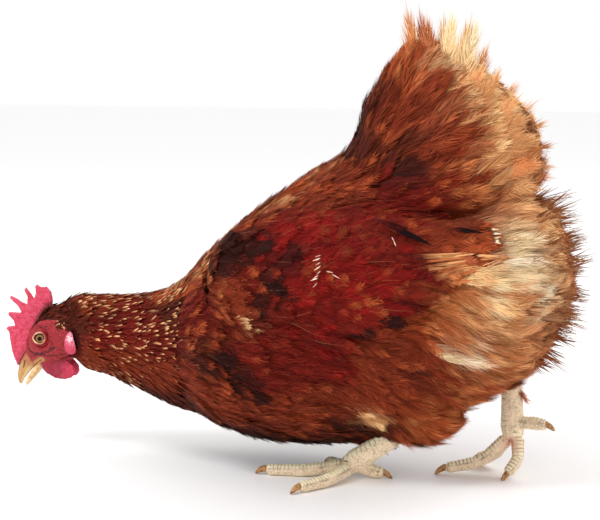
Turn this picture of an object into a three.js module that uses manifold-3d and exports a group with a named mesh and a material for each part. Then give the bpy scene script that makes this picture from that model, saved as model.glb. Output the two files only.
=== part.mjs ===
// A life-size brown laying hen, walking with its head lowered to peck and its tail raised.
// Millimetres, +Z up. The hen faces -Y and its left side is +X. The origin is on the floor, under the middle of the hen.
import * as THREE from "three";
import { mergeVertices } from "three/addons/utils/BufferGeometryUtils.js";
import Module from "manifold-3d";

const wasm = await Module();
wasm.setup();

// ---------------------------------------------------------------- driving sizes

const GAP = 0.35; // clearance between neighbouring solids
const HEAD_PITCH = 56; // degrees that the bill points below level
const EYE_PLACE = [-221, 97]; // y, z of the eyes, the origin of the head's own axes
const EYE_RADIUS = 7.8;
const EYE_OUT = 8.6; // middle of an eyeball from the mid-plane
const COMB_THICKNESS = 5;
const TAIL_ROOT = [112, 235]; // y, z where the tail feathers fan out from
const TAIL_FEATHERS = 6; // on each side
const TAIL_STAGGER = 0.4; // how far the right side's feathers are turned on, as a share of their spacing
const TAIL_REACH = { ridge: 130, outside: 86 }; // of the main feathers, from the tail's root
const WING_FEATHERS = 5; // long feathers that show past the coverts, on each side
const TOE_RADIUS = 4.6;
const TOE_REST = TOE_RADIUS - 0.4; // height of a toe's middle where it lies on the floor
const END_CROWDING = 0.7; // how much closer the rows of a shape stand towards its ends
const SLIVER = 0.08; // surface detail finer than this is smoothed away after a cut
const FLOOR_DEPTH = 60; // of the block that trims the soles flat

const radians = THREE.MathUtils.degToRad;
const mix = THREE.MathUtils.lerp;
const between = (from, to, share) => from.map((value, n) => mix(value, to[n], share));
const LEFT = 1;
const RIGHT = -1;
const SIDE_NAMES = new Map([
  [LEFT, "left"],
  [RIGHT, "right"],
]);

const COLOURS = {
  plumage: 0x7a2f14,
  fluff: 0xb5713c,
  hackle: 0x8a4520,
  tail: 0xa65c2c,
  skin: 0xc22f45,
  horn: 0xc79a5a,
  scale: 0xcfae7c,
  eye: 0xd98a2b,
};

// ---------------------------------------------------------------- shapes

// The value at t, from 0 to 1, of a smooth line through evenly spaced values.
function along(values, t) {
  const points = values.map((value) => new THREE.Vector3(value, 0, 0));
  return new THREE.CatmullRomCurve3(points, false, "catmullrom", 0.5).getPoint(t).x;
}

// How full a section is at t, for round ends that take up this share of the length.
function roundEnd(t, share) {
  const near = Math.min(t, 1 - t) / share;
  return near >= 1 ? 1 : Math.sqrt(1 - (1 - near) ** 2);
}

// A closed body round a spine. frameAt(t) gives the section's middle, its up and side directions, and its
// half sizes up, down and across.
function wrap(frameAt, { around = 16, steps = 16, ends = 0.12 }) {
  const ball = new THREE.SphereGeometry(1, around, steps);
  const place = ball.getAttribute("position");
  const point = new THREE.Vector3();
  for (let i = 0; i < place.count; i++) {
    point.fromBufferAttribute(place, i);
    const row = Math.acos(THREE.MathUtils.clamp(-point.y, -1, 1)) / Math.PI;
    const t = mix(row, (1 - Math.cos(row * Math.PI)) / 2, END_CROWDING);
    const angle = Math.atan2(point.z, point.x);
    const frame = frameAt(t);
    const full = roundEnd(t, ends);
    const rise = Math.sin(angle) * full * (Math.sin(angle) > 0 ? frame.up : frame.down);
    const reach = Math.cos(angle) * full * frame.across;
    point.copy(frame.middle);
    point.addScaledVector(frame.upward, rise);
    point.addScaledVector(frame.sideways, reach);
    place.setXYZ(i, point.x, point.y, point.z);
  }
  return ball;
}

// A body that is the same on its left and right. Each section is [y, z of its top, y, z of its bottom, its
// half width]; it is widest at this share of its height.
function symmetric(sections, { widest = 0.45, ...options }) {
  const column = (n, t) => along(sections.map((section) => section[n]), t);
  const sideways = new THREE.Vector3(1, 0, 0);
  const frameAt = (t) => {
    const top = new THREE.Vector3(0, column(0, t), column(1, t));
    const bottom = new THREE.Vector3(0, column(2, t), column(3, t));
    const middle = bottom.clone().lerp(top, widest);
    const upward = top.clone().sub(bottom).normalize();
    const [up, down] = [middle.distanceTo(top), middle.distanceTo(bottom)];
    return { middle, upward, sideways, up, down, across: column(4, t) };
  };
  return wrap(frameAt, options);
}

// A limb, toe, claw or feather that follows a path. Each stop is [x, y, z, up, across]; back is the direction
// that its upper side faces, roughly.
function limb(stops, { back = [0, 0, 1], ...options }) {
  const path = new THREE.CatmullRomCurve3(stops.map(([x, y, z]) => new THREE.Vector3(x, y, z)));
  path.curveType = "catmullrom";
  const facing = new THREE.Vector3(...back);
  const frameAt = (t) => {
    const tangent = path.getTangent(t);
    const sideways = new THREE.Vector3().crossVectors(tangent, facing).normalize();
    const upward = new THREE.Vector3().crossVectors(sideways, tangent);
    const [up, across] = [3, 4].map((n) => along(stops.map((stop) => stop[n]), t));
    return { middle: path.getPoint(t), upward, sideways, up, down: up, across };
  };
  return wrap(frameAt, options);
}

// An egg-shaped lump with its half sizes along X, Y and Z.
function lump(middle, halfSizes, { around = 16, steps = 10, pitch = 0, yaw = 0 } = {}) {
  const ball = new THREE.SphereGeometry(1, around, steps);
  ball.scale(...halfSizes);
  ball.rotateX(radians(pitch));
  ball.rotateZ(radians(yaw));
  return ball.translate(...middle);
}

// ---------------------------------------------------------------- joining and cutting

function merged(geometry) {
  const bare = geometry.clone();
  bare.deleteAttribute("normal");
  bare.deleteAttribute("uv");
  return mergeVertices(bare, 1e-3);
}

function solid(geometry) {
  const closed = merged(geometry);
  return new wasm.Manifold(
    new wasm.Mesh({
      numProp: 3,
      vertProperties: new Float32Array(closed.getAttribute("position").array),
      triVerts: new Uint32Array(closed.index.array),
    }),
  );
}

// The same geometry, swollen all over by this much.
function swollen(geometry, by) {
  const closed = merged(geometry);
  closed.computeVertexNormals();
  const place = closed.getAttribute("position");
  const normal = closed.getAttribute("normal");
  const point = new THREE.Vector3();
  const outward = new THREE.Vector3();
  for (let i = 0; i < place.count; i++) {
    outward.fromBufferAttribute(normal, i);
    point.fromBufferAttribute(place, i).addScaledVector(outward, by);
    place.setXYZ(i, point.x, point.y, point.z);
  }
  return closed;
}

const joined = (geometries) => geometries.map(solid).reduce((all, next) => all.add(next));

const cutBy = (body, neighbours) =>
  neighbours.reduce((rest, neighbour) => rest.subtract(solid(swollen(neighbour, GAP))), body);

// The largest connected body, without the slivers that a cut can leave.
function mainBody(body) {
  return body.simplify(SLIVER).decompose().reduce((best, next) => (next.volume() > best.volume() ? next : best));
}

function geometryOf(body) {
  const mesh = body.getMesh();
  const positions = new Float32Array(mesh.numVert * 3);
  for (let i = 0; i < mesh.numVert; i++)
    positions.set(mesh.vertProperties.subarray(i * mesh.numProp, i * mesh.numProp + 3), i * 3);
  const geometry = new THREE.BufferGeometry();
  geometry.setAttribute("position", new THREE.BufferAttribute(positions, 3));
  geometry.setIndex(new THREE.BufferAttribute(new Uint32Array(mesh.triVerts), 1));
  geometry.computeVertexNormals();
  return geometry;
}

const hen = new THREE.Group();

function addPart(name, body, colour, roughness = 0.7) {
  const material = new THREE.MeshStandardMaterial({ color: colour, roughness, metalness: 0 });
  const mesh = new THREE.Mesh(geometryOf(mainBody(body)), material);
  mesh.name = name;
  hen.add(mesh);
}

const onSide = (geometry, side) => {
  if (side === LEFT) return geometry;
  const mirrored = geometry.clone().scale(-1, 1, 1);
  const index = mirrored.index.array;
  for (let i = 0; i < index.length; i += 3) [index[i + 1], index[i + 2]] = [index[i + 2], index[i + 1]];
  return mirrored;
};

// ---------------------------------------------------------------- trunk, fluff and neck

const trunkShape = symmetric(
  [
    [-112, 126, -116, 65, 26],
    [-96, 152, -92, 44, 50],
    [-70, 178, -62, 30, 70],
    [-34, 209, -22, 20, 82],
    [2, 235, 20, 21, 88],
    [34, 252, 60, 26, 88],
    [70, 260, 100, 48, 82],
    [104, 254, 132, 84, 68],
    [130, 238, 150, 126, 46],
  ],
  { around: 24, steps: 16, ends: 0.1 },
);

// The soft feathering of the abdomen and vent, behind and between the thighs.
const fluffShape = symmetric(
  [
    [66, 196, 84, 68, 56],
    [104, 222, 112, 48, 76],
    [146, 232, 146, 64, 85],
    [184, 228, 178, 80, 82],
    [209, 210, 203, 100, 66],
    [227, 184, 226, 128, 38],
  ],
  { around: 20, steps: 11, ends: 0.12, widest: 0.5 },
);

const neckShape = symmetric(
  [
    [-211, 128.5, -191, 73.5, 11],
    [-202, 131, -185, 72, 15],
    [-191, 134, -179, 68.5, 21],
    [-174, 136, -170, 67, 26],
    [-149, 138, -143, 57, 32],
    [-124, 141, -117, 47, 40],
    [-101, 150, -90, 38, 52],
    [-78, 168, -64, 40, 60],
  ],
  { around: 18, steps: 11, ends: 0.1 },
);

// ---------------------------------------------------------------- head

// A point of the head's own frame: forward towards the bill, up towards the comb, out from the mid-plane.
function headPoint(forward, up, out = 0) {
  const turn = radians(HEAD_PITCH);
  return [
    out,
    EYE_PLACE[0] - forward * Math.cos(turn) - up * Math.sin(turn),
    EYE_PLACE[1] - forward * Math.sin(turn) + up * Math.cos(turn),
  ];
}

const headStop = (forward, up, height, across) => [...headPoint(forward, up), height, across];
const headOrigin = new THREE.Vector3(...headPoint(0, 0));
const crown = new THREE.Vector3(...headPoint(0, 1)).sub(headOrigin);
const billward = new THREE.Vector3(...headPoint(1, 0)).sub(headOrigin);

const skullShape = limb(
  [
    headStop(27, -0.5, 7.5, 6),
    headStop(18, -2.5, 13.5, 9.5),
    headStop(8, -4.5, 19, 13.5),
    headStop(-4, -8, 24, 15.4),
    headStop(-17, -10.5, 26, 16.4),
    headStop(-32, -12, 25, 17),
  ],
  { back: crown.toArray(), around: 14, steps: 10, ends: 0.14 },
);

const upperBillShape = limb(
  [
    headStop(20, 0, 7.4, 6.4),
    headStop(29, 0.6, 6.4, 5.4),
    headStop(37, 0.2, 5, 4.2),
    headStop(44, -1.2, 3.2, 2.6),
    headStop(49, -4.6, 0.9, 0.8),
  ],
  { back: crown.toArray(), around: 12, steps: 8, ends: 0.08 },
);

const lowerBillShape = limb(
  [
    headStop(13, -10.5, 3.6, 7),
    headStop(24, -9.6, 3.4, 5.4),
    headStop(34, -8.8, 2.8, 4),
    headStop(42, -8.4, 1.9, 2.6),
    headStop(47, -8.6, 0.8, 0.9),
  ],
  { back: crown.toArray(), around: 12, steps: 8, ends: 0.1 },
);

// The tips of the comb's spikes and the valleys behind them, each [forward, up] in the head's frame.
const COMB_SPIKES = [
  { tip: [15.4, 31.8], valley: [9.2, 26.5] },
  { tip: [4.2, 37.5], valley: [-3.5, 27.7] },
  { tip: [-8.5, 43.3], valley: [-11.6, 27.5] },
  { tip: [-22.4, 36.5], valley: [-19.4, 25] },
  { tip: [-30.3, 30], valley: [-31.6, 25.4] },
];
const SPIKE_SLENDERNESS = 0.8; // how soon a spike narrows, up from the valley beside it
const SPIKE_BLUNTNESS = 0.8; // half width of a spike's tip

// The comb's outline runs from the bill up over the spikes to a blunt blade behind, then back inside the skull.
function combOutline() {
  const outline = new THREE.Shape();
  outline.moveTo(36, 3);
  outline.lineTo(36.2, 7.4);
  outline.quadraticCurveTo(31, 18, 19.4, 26.4);
  let low = [19.4, 26.4];
  for (const { tip, valley } of COMB_SPIKES) {
    const [forward, up] = tip;
    outline.quadraticCurveTo(
      mix(forward, low[0], 0.3),
      mix(up, low[1], SPIKE_SLENDERNESS),
      forward + SPIKE_BLUNTNESS,
      up,
    );
    outline.lineTo(forward - SPIKE_BLUNTNESS, up);
    outline.quadraticCurveTo(mix(forward, valley[0], 0.7), mix(up, valley[1], SPIKE_SLENDERNESS), ...valley);
    low = valley;
  }
  outline.quadraticCurveTo(-37, 23.5, -33.6, 16.4);
  outline.lineTo(-28.4, 11.4);
  outline.lineTo(-20, 4);
  outline.lineTo(0, 6);
  outline.lineTo(22, 2);
  return outline;
}

// The flat outline stands in the mid-plane: its x is forward and its y is up, in the head's frame.
function combSolid() {
  const bevel = 1.2;
  const plate = new THREE.ExtrudeGeometry(combOutline(), {
    depth: COMB_THICKNESS - 2 * bevel,
    bevelThickness: bevel,
    bevelSize: bevel,
    bevelOffset: -bevel / 2,
    bevelSegments: 1,
    curveSegments: 2,
  });
  plate.translate(0, 0, bevel - COMB_THICKNESS / 2);
  const out = new THREE.Vector3().crossVectors(billward, crown);
  const turned = new THREE.Matrix4().makeBasis(billward, crown, out);
  turned.setPosition(headOrigin);
  return solid(plate.applyMatrix4(turned));
}

const eyeHalves = [EYE_RADIUS, EYE_RADIUS, EYE_RADIUS];
const eyeShape = (side) => onSide(lump(headPoint(0, 0, EYE_OUT), eyeHalves, { around: 10, steps: 8 }), side);

// A flap that hangs from the jaw, swung back by the lowered head.
const wattleShape = (side) =>
  onSide(lump([6.2, -208, 71.2], [2.2, 15.6, 9.8], { around: 10, steps: 6, pitch: -16, yaw: 4 }), side);

const earlobeShape = (side) =>
  onSide(lump([16.4, -190.4, 95.5], [2.6, 6.6, 10.8], { around: 10, steps: 7, pitch: -12, yaw: 6 }), side);

// ---------------------------------------------------------------- wings

// The folded wing lies on the flank, leaning in over the back like the body under it.
const WING_LEAN = [1, 0, 0.32];
const wingCoverts = limb(
  [
    [48, -62, 158, 10, 16],
    [64, -42, 162, 15, 36],
    [73, -6, 168, 18, 49],
    [77, 38, 171, 17, 53],
    [76, 82, 178, 14, 45],
    [72, 118, 184, 9, 32],
    [68, 142, 190, 5, 18],
  ],
  { back: WING_LEAN, around: 14, steps: 10, ends: 0.14 },
);

// The long feathers come out from under the coverts, the lowest ones the furthest forward.
function wingFeather(n) {
  const share = n / (WING_FEATHERS - 1);
  const root = [mix(73, 82, share), mix(84, 40, share), mix(196, 158, share)];
  const tip = [mix(68, 84, share), mix(174, 122, share), mix(196, 146, share)];
  return limb([[...root, 2, 9], [...between(root, tip, 0.5), 2, 11], [...tip, 1.4, 8]], {
    back: WING_LEAN,
    around: 8,
    steps: 4,
    ends: 0.3,
  });
}

const wingShapes = [wingCoverts, ...Array.from({ length: WING_FEATHERS }, (_, n) => wingFeather(n))];

// ---------------------------------------------------------------- tail

// Its sections lie nearly flat and are stacked upwards: as the tail is raised, its upper side faces forwards.
const tailCoverts = symmetric(
  [
    [20, 220, 176, 196, 62],
    [30, 244, 190, 226, 60],
    [42, 272, 190, 258, 50],
    [56, 300, 180, 286, 37],
    [71, 326, 154, 312, 24],
    [84, 346, 122, 338, 12],
  ],
  { around: 16, steps: 9, ends: 0.1 },
);

// The main tail feathers fan from upright at the ridge to level at the outside.
function tailFeather(n, side) {
  const share = (n + (side === RIGHT ? TAIL_STAGGER : 0)) / (TAIL_FEATHERS - 1 + TAIL_STAGGER);
  const angle = radians(mix(101, 2, share));
  const length = mix(TAIL_REACH.outside, TAIL_REACH.ridge, (1 - share) ** 1.6);
  const spread = mix(6, 46, share);
  const stop = (part, thickness, width) => [
    side * mix(6, spread, part),
    TAIL_ROOT[0] + length * part * Math.cos(angle),
    TAIL_ROOT[1] + length * part * Math.sin(angle),
    thickness,
    width,
  ];
  return limb([stop(0.3, 2, 10), stop(0.65, 2, 15), stop(1, 1.4, 11)], {
    back: [side, 0, 0],
    around: 8,
    steps: 4,
    ends: 0.3,
  });
}

const tailShapes = [tailCoverts];
for (let n = 0; n < TAIL_FEATHERS; n++)
  for (const side of SIDE_NAMES.keys()) tailShapes.push(tailFeather(n, side));

// ---------------------------------------------------------------- legs

// The left foot is set down flat in front; the right one is behind, pushing off with its heel raised.
const LEGS = new Map([
  [
    LEFT,
    {
      knee: [46, 44, 116],
      hock: [35, 112, 58],
      foot: [26, 49, 11.5],
      toes: {
        hallux: [[25, 54, 10], [21, 66, 5.4], [20, 74, TOE_REST]],
        inner: [[21, 49, 10], [9, 36, TOE_REST + 1], [-5, 23, TOE_REST]],
        middle: [[25, 47, 10.5], [30, 12, TOE_REST + 0.6], [34, -21, TOE_REST]],
        outer: [[30, 50, 10], [54, 37, TOE_REST + 0.8], [79, 19, TOE_REST]],
      },
    },
  ],
  [
    RIGHT,
    {
      knee: [-46, 100, 146],
      hock: [-27, 166, 110],
      foot: [-22, 170, 33],
      toes: {
        hallux: [[-21, 174, 42], [-15, 189, 43.4], [-12, 198, 43]],
        inner: [[-21, 174, 32], [-12, 175.5, 14], [-2, 168.5, TOE_REST]],
        middle: [[-20, 168, 31], [-14, 146, 10], [-5, 117, TOE_REST]],
        outer: [[-25, 169, 31], [-32, 154, 12], [-43, 138, TOE_REST]],
      },
    },
  ],
]);

// The feathered part of the leg, down to the hock, and the loose feathers that hang round the hock.
const drumstick = ({ knee, hock }) =>
  limb(
    [
      [...between(knee, hock, -0.25), 42, 30],
      [...knee, 50, 37],
      [...between(knee, hock, 0.45), 46, 34],
      [...between(knee, hock, 0.82), 41, 26],
      [...hock, 28, 17],
    ],
    { back: [0, -1, 0.5], around: 12, steps: 8, ends: 0.14 },
  );

const HOCK_FEATHERS = [18, 38, 24]; // half sizes
const HOCK_FEATHERS_FROM_HOCK = [2.5, -11, -1];
const hockFeathers = ({ hock }, side) => {
  const middle = hock.map((value, n) => value + HOCK_FEATHERS_FROM_HOCK[n] * (n === 0 ? side : 1));
  return lump(middle, HOCK_FEATHERS, { around: 12, steps: 8 });
};

const shankShape = ({ hock, foot }) =>
  limb(
    [
      [...between(hock, foot, 0.04), 9.5, 8],
      [...between(hock, foot, 0.36), 7.6, 6.2],
      [...between(hock, foot, 0.74), 8.4, 7],
      [...between(hock, foot, 1.08), 10, 9.5],
    ],
    { back: [0, -1, 0.3], around: 12, steps: 9, ends: 0.14 },
  );

const toeShape = ([root, middle, tip]) =>
  limb(
    [
      [...root, TOE_RADIUS + 1.2, TOE_RADIUS + 0.8],
      [...between(root, middle, 0.6), TOE_RADIUS, TOE_RADIUS],
      [...middle, TOE_RADIUS + 0.5, TOE_RADIUS],
      [...between(middle, tip, 0.5), TOE_RADIUS - 0.4, TOE_RADIUS - 0.4],
      [...tip, TOE_RADIUS, TOE_RADIUS - 0.5],
    ],
    { around: 8, steps: 7, ends: 0.12 },
  );

const CLAW_LENGTH = 12;
const CLAW_ROOT = 0.42; // the share of a claw's length that is hidden in its toe
const CLAW_DROP = 3.2; // of a claw's tip below its root
const CLAW_LIFT = 0.6; // of a claw's root above the middle of its toe

// A claw comes out of the end of its toe and curves down to the floor.
function clawShape([, middle, tip]) {
  const heading = new THREE.Vector3(...tip).sub(new THREE.Vector3(...middle));
  heading.z = Math.max(heading.z, -heading.length() * 0.3);
  heading.setLength(CLAW_LENGTH);
  const at = (part, lift) => tip.map((value, n) => value + heading.getComponent(n) * part + (n === 2 ? lift : 0));
  return limb(
    [
      [...at(-CLAW_ROOT, CLAW_LIFT), 2.4, 2.2],
      [...at(0.5 - CLAW_ROOT, CLAW_LIFT), 2.4, 2.1],
      [...at(1 - CLAW_ROOT, -Math.min(CLAW_DROP, tip[2] - 1)), 0.7, 0.7],
    ],
    { around: 8, steps: 5, ends: 0.16 },
  );
}

// What is below the floor, so that soles and claws end in small flats at one level.
const floorBlock = solid(new THREE.BoxGeometry(900, 900, FLOOR_DEPTH).translate(0, 0, -FLOOR_DEPTH / 2));

// ---------------------------------------------------------------- the whole hen

function addBody() {
  addPart("trunk", solid(trunkShape), COLOURS.plumage);
  addPart("fluff", cutBy(solid(fluffShape), [trunkShape]), COLOURS.fluff);
  addPart("neck", cutBy(solid(neckShape), [trunkShape, skullShape]), COLOURS.hackle);
  const tail = joined(tailShapes);
  addPart("tail", cutBy(tail, [trunkShape, fluffShape]), COLOURS.tail);
  for (const [side, name] of SIDE_NAMES) {
    const wing = joined(wingShapes.map((shape) => onSide(shape, side)));
    addPart(`wing_${name}`, cutBy(wing, [trunkShape, fluffShape, neckShape, ...tailShapes]), COLOURS.plumage);
  }
}

function addHead() {
  const eyes = [...SIDE_NAMES.keys()].map(eyeShape);
  addPart("head", cutBy(solid(skullShape), [upperBillShape, lowerBillShape, ...eyes]), COLOURS.skin);
  addPart("bill_upper", solid(upperBillShape), COLOURS.horn, 0.4);
  addPart("bill_lower", cutBy(solid(lowerBillShape), [upperBillShape]), COLOURS.horn, 0.4);
  addPart("comb", cutBy(combSolid(), [skullShape, upperBillShape, neckShape]), COLOURS.skin);
  for (const [side, name] of SIDE_NAMES) {
    addPart(`eye_${name}`, solid(eyeShape(side)), COLOURS.eye, 0.1);
    const lobe = cutBy(solid(earlobeShape(side)), [skullShape, neckShape]);
    addPart(`earlobe_${name}`, lobe, COLOURS.skin);
    const wattle = cutBy(solid(wattleShape(side)), [skullShape, neckShape, lowerBillShape, earlobeShape(side)]);
    addPart(`wattle_${name}`, wattle, COLOURS.skin);
  }
}

function addLeg(side, leg) {
  const name = SIDE_NAMES.get(side);
  const thigh = joined([drumstick(leg), hockFeathers(leg, side)]);
  const shank = shankShape(leg);
  const bodyShapes = [trunkShape, fluffShape];
  const wing = wingShapes.map((shape) => onSide(shape, side));
  addPart(`thigh_${name}`, cutBy(thigh, [...bodyShapes, ...wing, shank]), COLOURS.plumage);
  addPart(`shank_${name}`, cutBy(solid(shank), bodyShapes).subtract(floorBlock), COLOURS.scale);
  const done = [shank];
  for (const [toe, stops] of Object.entries(leg.toes)) {
    const shape = toeShape(stops);
    const claw = clawShape(stops);
    addPart(`toe_${toe}_${name}`, cutBy(solid(shape), done).subtract(floorBlock), COLOURS.scale);
    addPart(`claw_${toe}_${name}`, cutBy(solid(claw), [shape]).subtract(floorBlock), COLOURS.horn, 0.4);
    done.push(shape);
  }
}

addBody();
addHead();
for (const [side, leg] of LEGS) addLeg(side, leg);

// The hen was laid out from a mark on the floor below its breast. Its origin is under the middle of its box.
const middle = new THREE.Box3().setFromObject(hen).getCenter(new THREE.Vector3());
for (const mesh of hen.children) mesh.geometry.translate(-middle.x, -middle.y, 0);

export default hen;
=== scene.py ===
"""A life-size brown laying hen that walks with its head lowered to peck and its tail raised."""

import math
from dataclasses import dataclass
from types import SimpleNamespace

import bmesh
import bpy
import numpy as np
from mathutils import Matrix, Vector, noise
from mathutils.bvhtree import BVHTree


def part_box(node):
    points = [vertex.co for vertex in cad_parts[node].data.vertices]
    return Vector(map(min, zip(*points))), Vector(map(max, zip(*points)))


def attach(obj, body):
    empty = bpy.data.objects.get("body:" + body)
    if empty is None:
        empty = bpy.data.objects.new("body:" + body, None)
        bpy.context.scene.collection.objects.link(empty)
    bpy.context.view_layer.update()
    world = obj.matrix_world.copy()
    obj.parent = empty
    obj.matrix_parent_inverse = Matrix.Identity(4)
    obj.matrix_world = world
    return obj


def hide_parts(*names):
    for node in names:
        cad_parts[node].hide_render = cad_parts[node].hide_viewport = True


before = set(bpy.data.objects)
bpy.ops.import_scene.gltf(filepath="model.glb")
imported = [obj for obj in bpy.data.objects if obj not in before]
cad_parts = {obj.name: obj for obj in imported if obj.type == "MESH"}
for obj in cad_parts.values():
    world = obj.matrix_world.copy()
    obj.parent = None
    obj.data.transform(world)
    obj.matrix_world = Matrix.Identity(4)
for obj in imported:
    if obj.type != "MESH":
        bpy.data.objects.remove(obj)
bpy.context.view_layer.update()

MM = 0.001
SIDES = {"left": 1, "right": -1}
TOES = ("hallux", "inner", "middle", "outer")

# ---------------------------------------------------------------- places taken from the frame


def middle_of(node):
    low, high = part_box(node)
    return np.array((low + high) / 2)


HEAD_PITCH = math.radians(56)  # the bill points this far below level
EYE = middle_of("eye_left") * [0, 1, 1]
EYE_OUT = middle_of("eye_left")[0]
EYE_RADIUS = (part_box("eye_left")[1][1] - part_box("eye_left")[0][1]) / 2
BILLWARD = np.array([0, -math.cos(HEAD_PITCH), -math.sin(HEAD_PITCH)])
CROWNWARD = np.array([0, -math.sin(HEAD_PITCH), math.cos(HEAD_PITCH)])


def head_place(forward, up, out=0):
    """A point of the head, in millimetres towards the bill, the comb and the left from between the eyes."""
    return EYE + (BILLWARD * forward + CROWNWARD * up + np.array([out, 0, 0])) * MM


def head_axes(points):
    """How far points are forward of the eyes and above them, in millimetres."""
    away = (points - EYE) / MM
    return away @ BILLWARD, away @ CROWNWARD


# ---------------------------------------------------------------- colours


def srgb(red, green, blue):
    """A colour given as it is seen, as the linear numbers that the materials use."""
    seen = np.array([red, green, blue]) / 255
    return np.where(seen <= 0.04045, seen / 12.92, ((seen + 0.055) / 1.055) ** 2.4)


# the near-black brown of painted shade, where the plumage lies in shadow and in the gaps between its parts
PAINTED_SHADE_DARK = srgb(44, 14, 10)
UMBER = srgb(76, 28, 16)
MAHOGANY = srgb(100, 20, 13)
CRIMSON = srgb(122, 17, 14)
CHESTNUT = srgb(122, 45, 23)
RUST = srgb(156, 69, 36)
GINGER = srgb(188, 110, 64)
TAN = srgb(216, 155, 103)
CREAM = srgb(250, 208, 150)
IVORY = srgb(255, 234, 188)
FLECK = srgb(228, 172, 122)
WHITE = srgb(255, 241, 216)
TORN = srgb(232, 196, 184)
COMB_RED = srgb(196, 42, 70)
COMB_PINK = srgb(226, 96, 122)
FACE_RED = srgb(158, 29, 34)
# dark red: painted shade in the face's creases, and the darker parts of the comb and wattles
CREASE_RED = srgb(74, 8, 18)
LOBE_PINK = srgb(250, 214, 222)
LID_PALE = srgb(244, 206, 164)
IRIS_OLIVE = srgb(112, 78, 42)
IRIS_PALE = srgb(176, 136, 86)
PUPIL = srgb(16, 10, 10)
HORN = srgb(200, 150, 88)
HORN_DARK = srgb(112, 68, 38)
HORN_PALE = srgb(236, 204, 148)
SCALE = srgb(255, 238, 200)
SCALE_PINK = srgb(252, 216, 186)
SCALE_SEAM = srgb(78, 44, 30)
WEB_RED = srgb(204, 108, 92)
DARKEST = 0.002  # of any colour that is painted on
SKIN_LIGHTEST, FEATHERS_LIGHTEST = 0.95, 0.98
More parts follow.
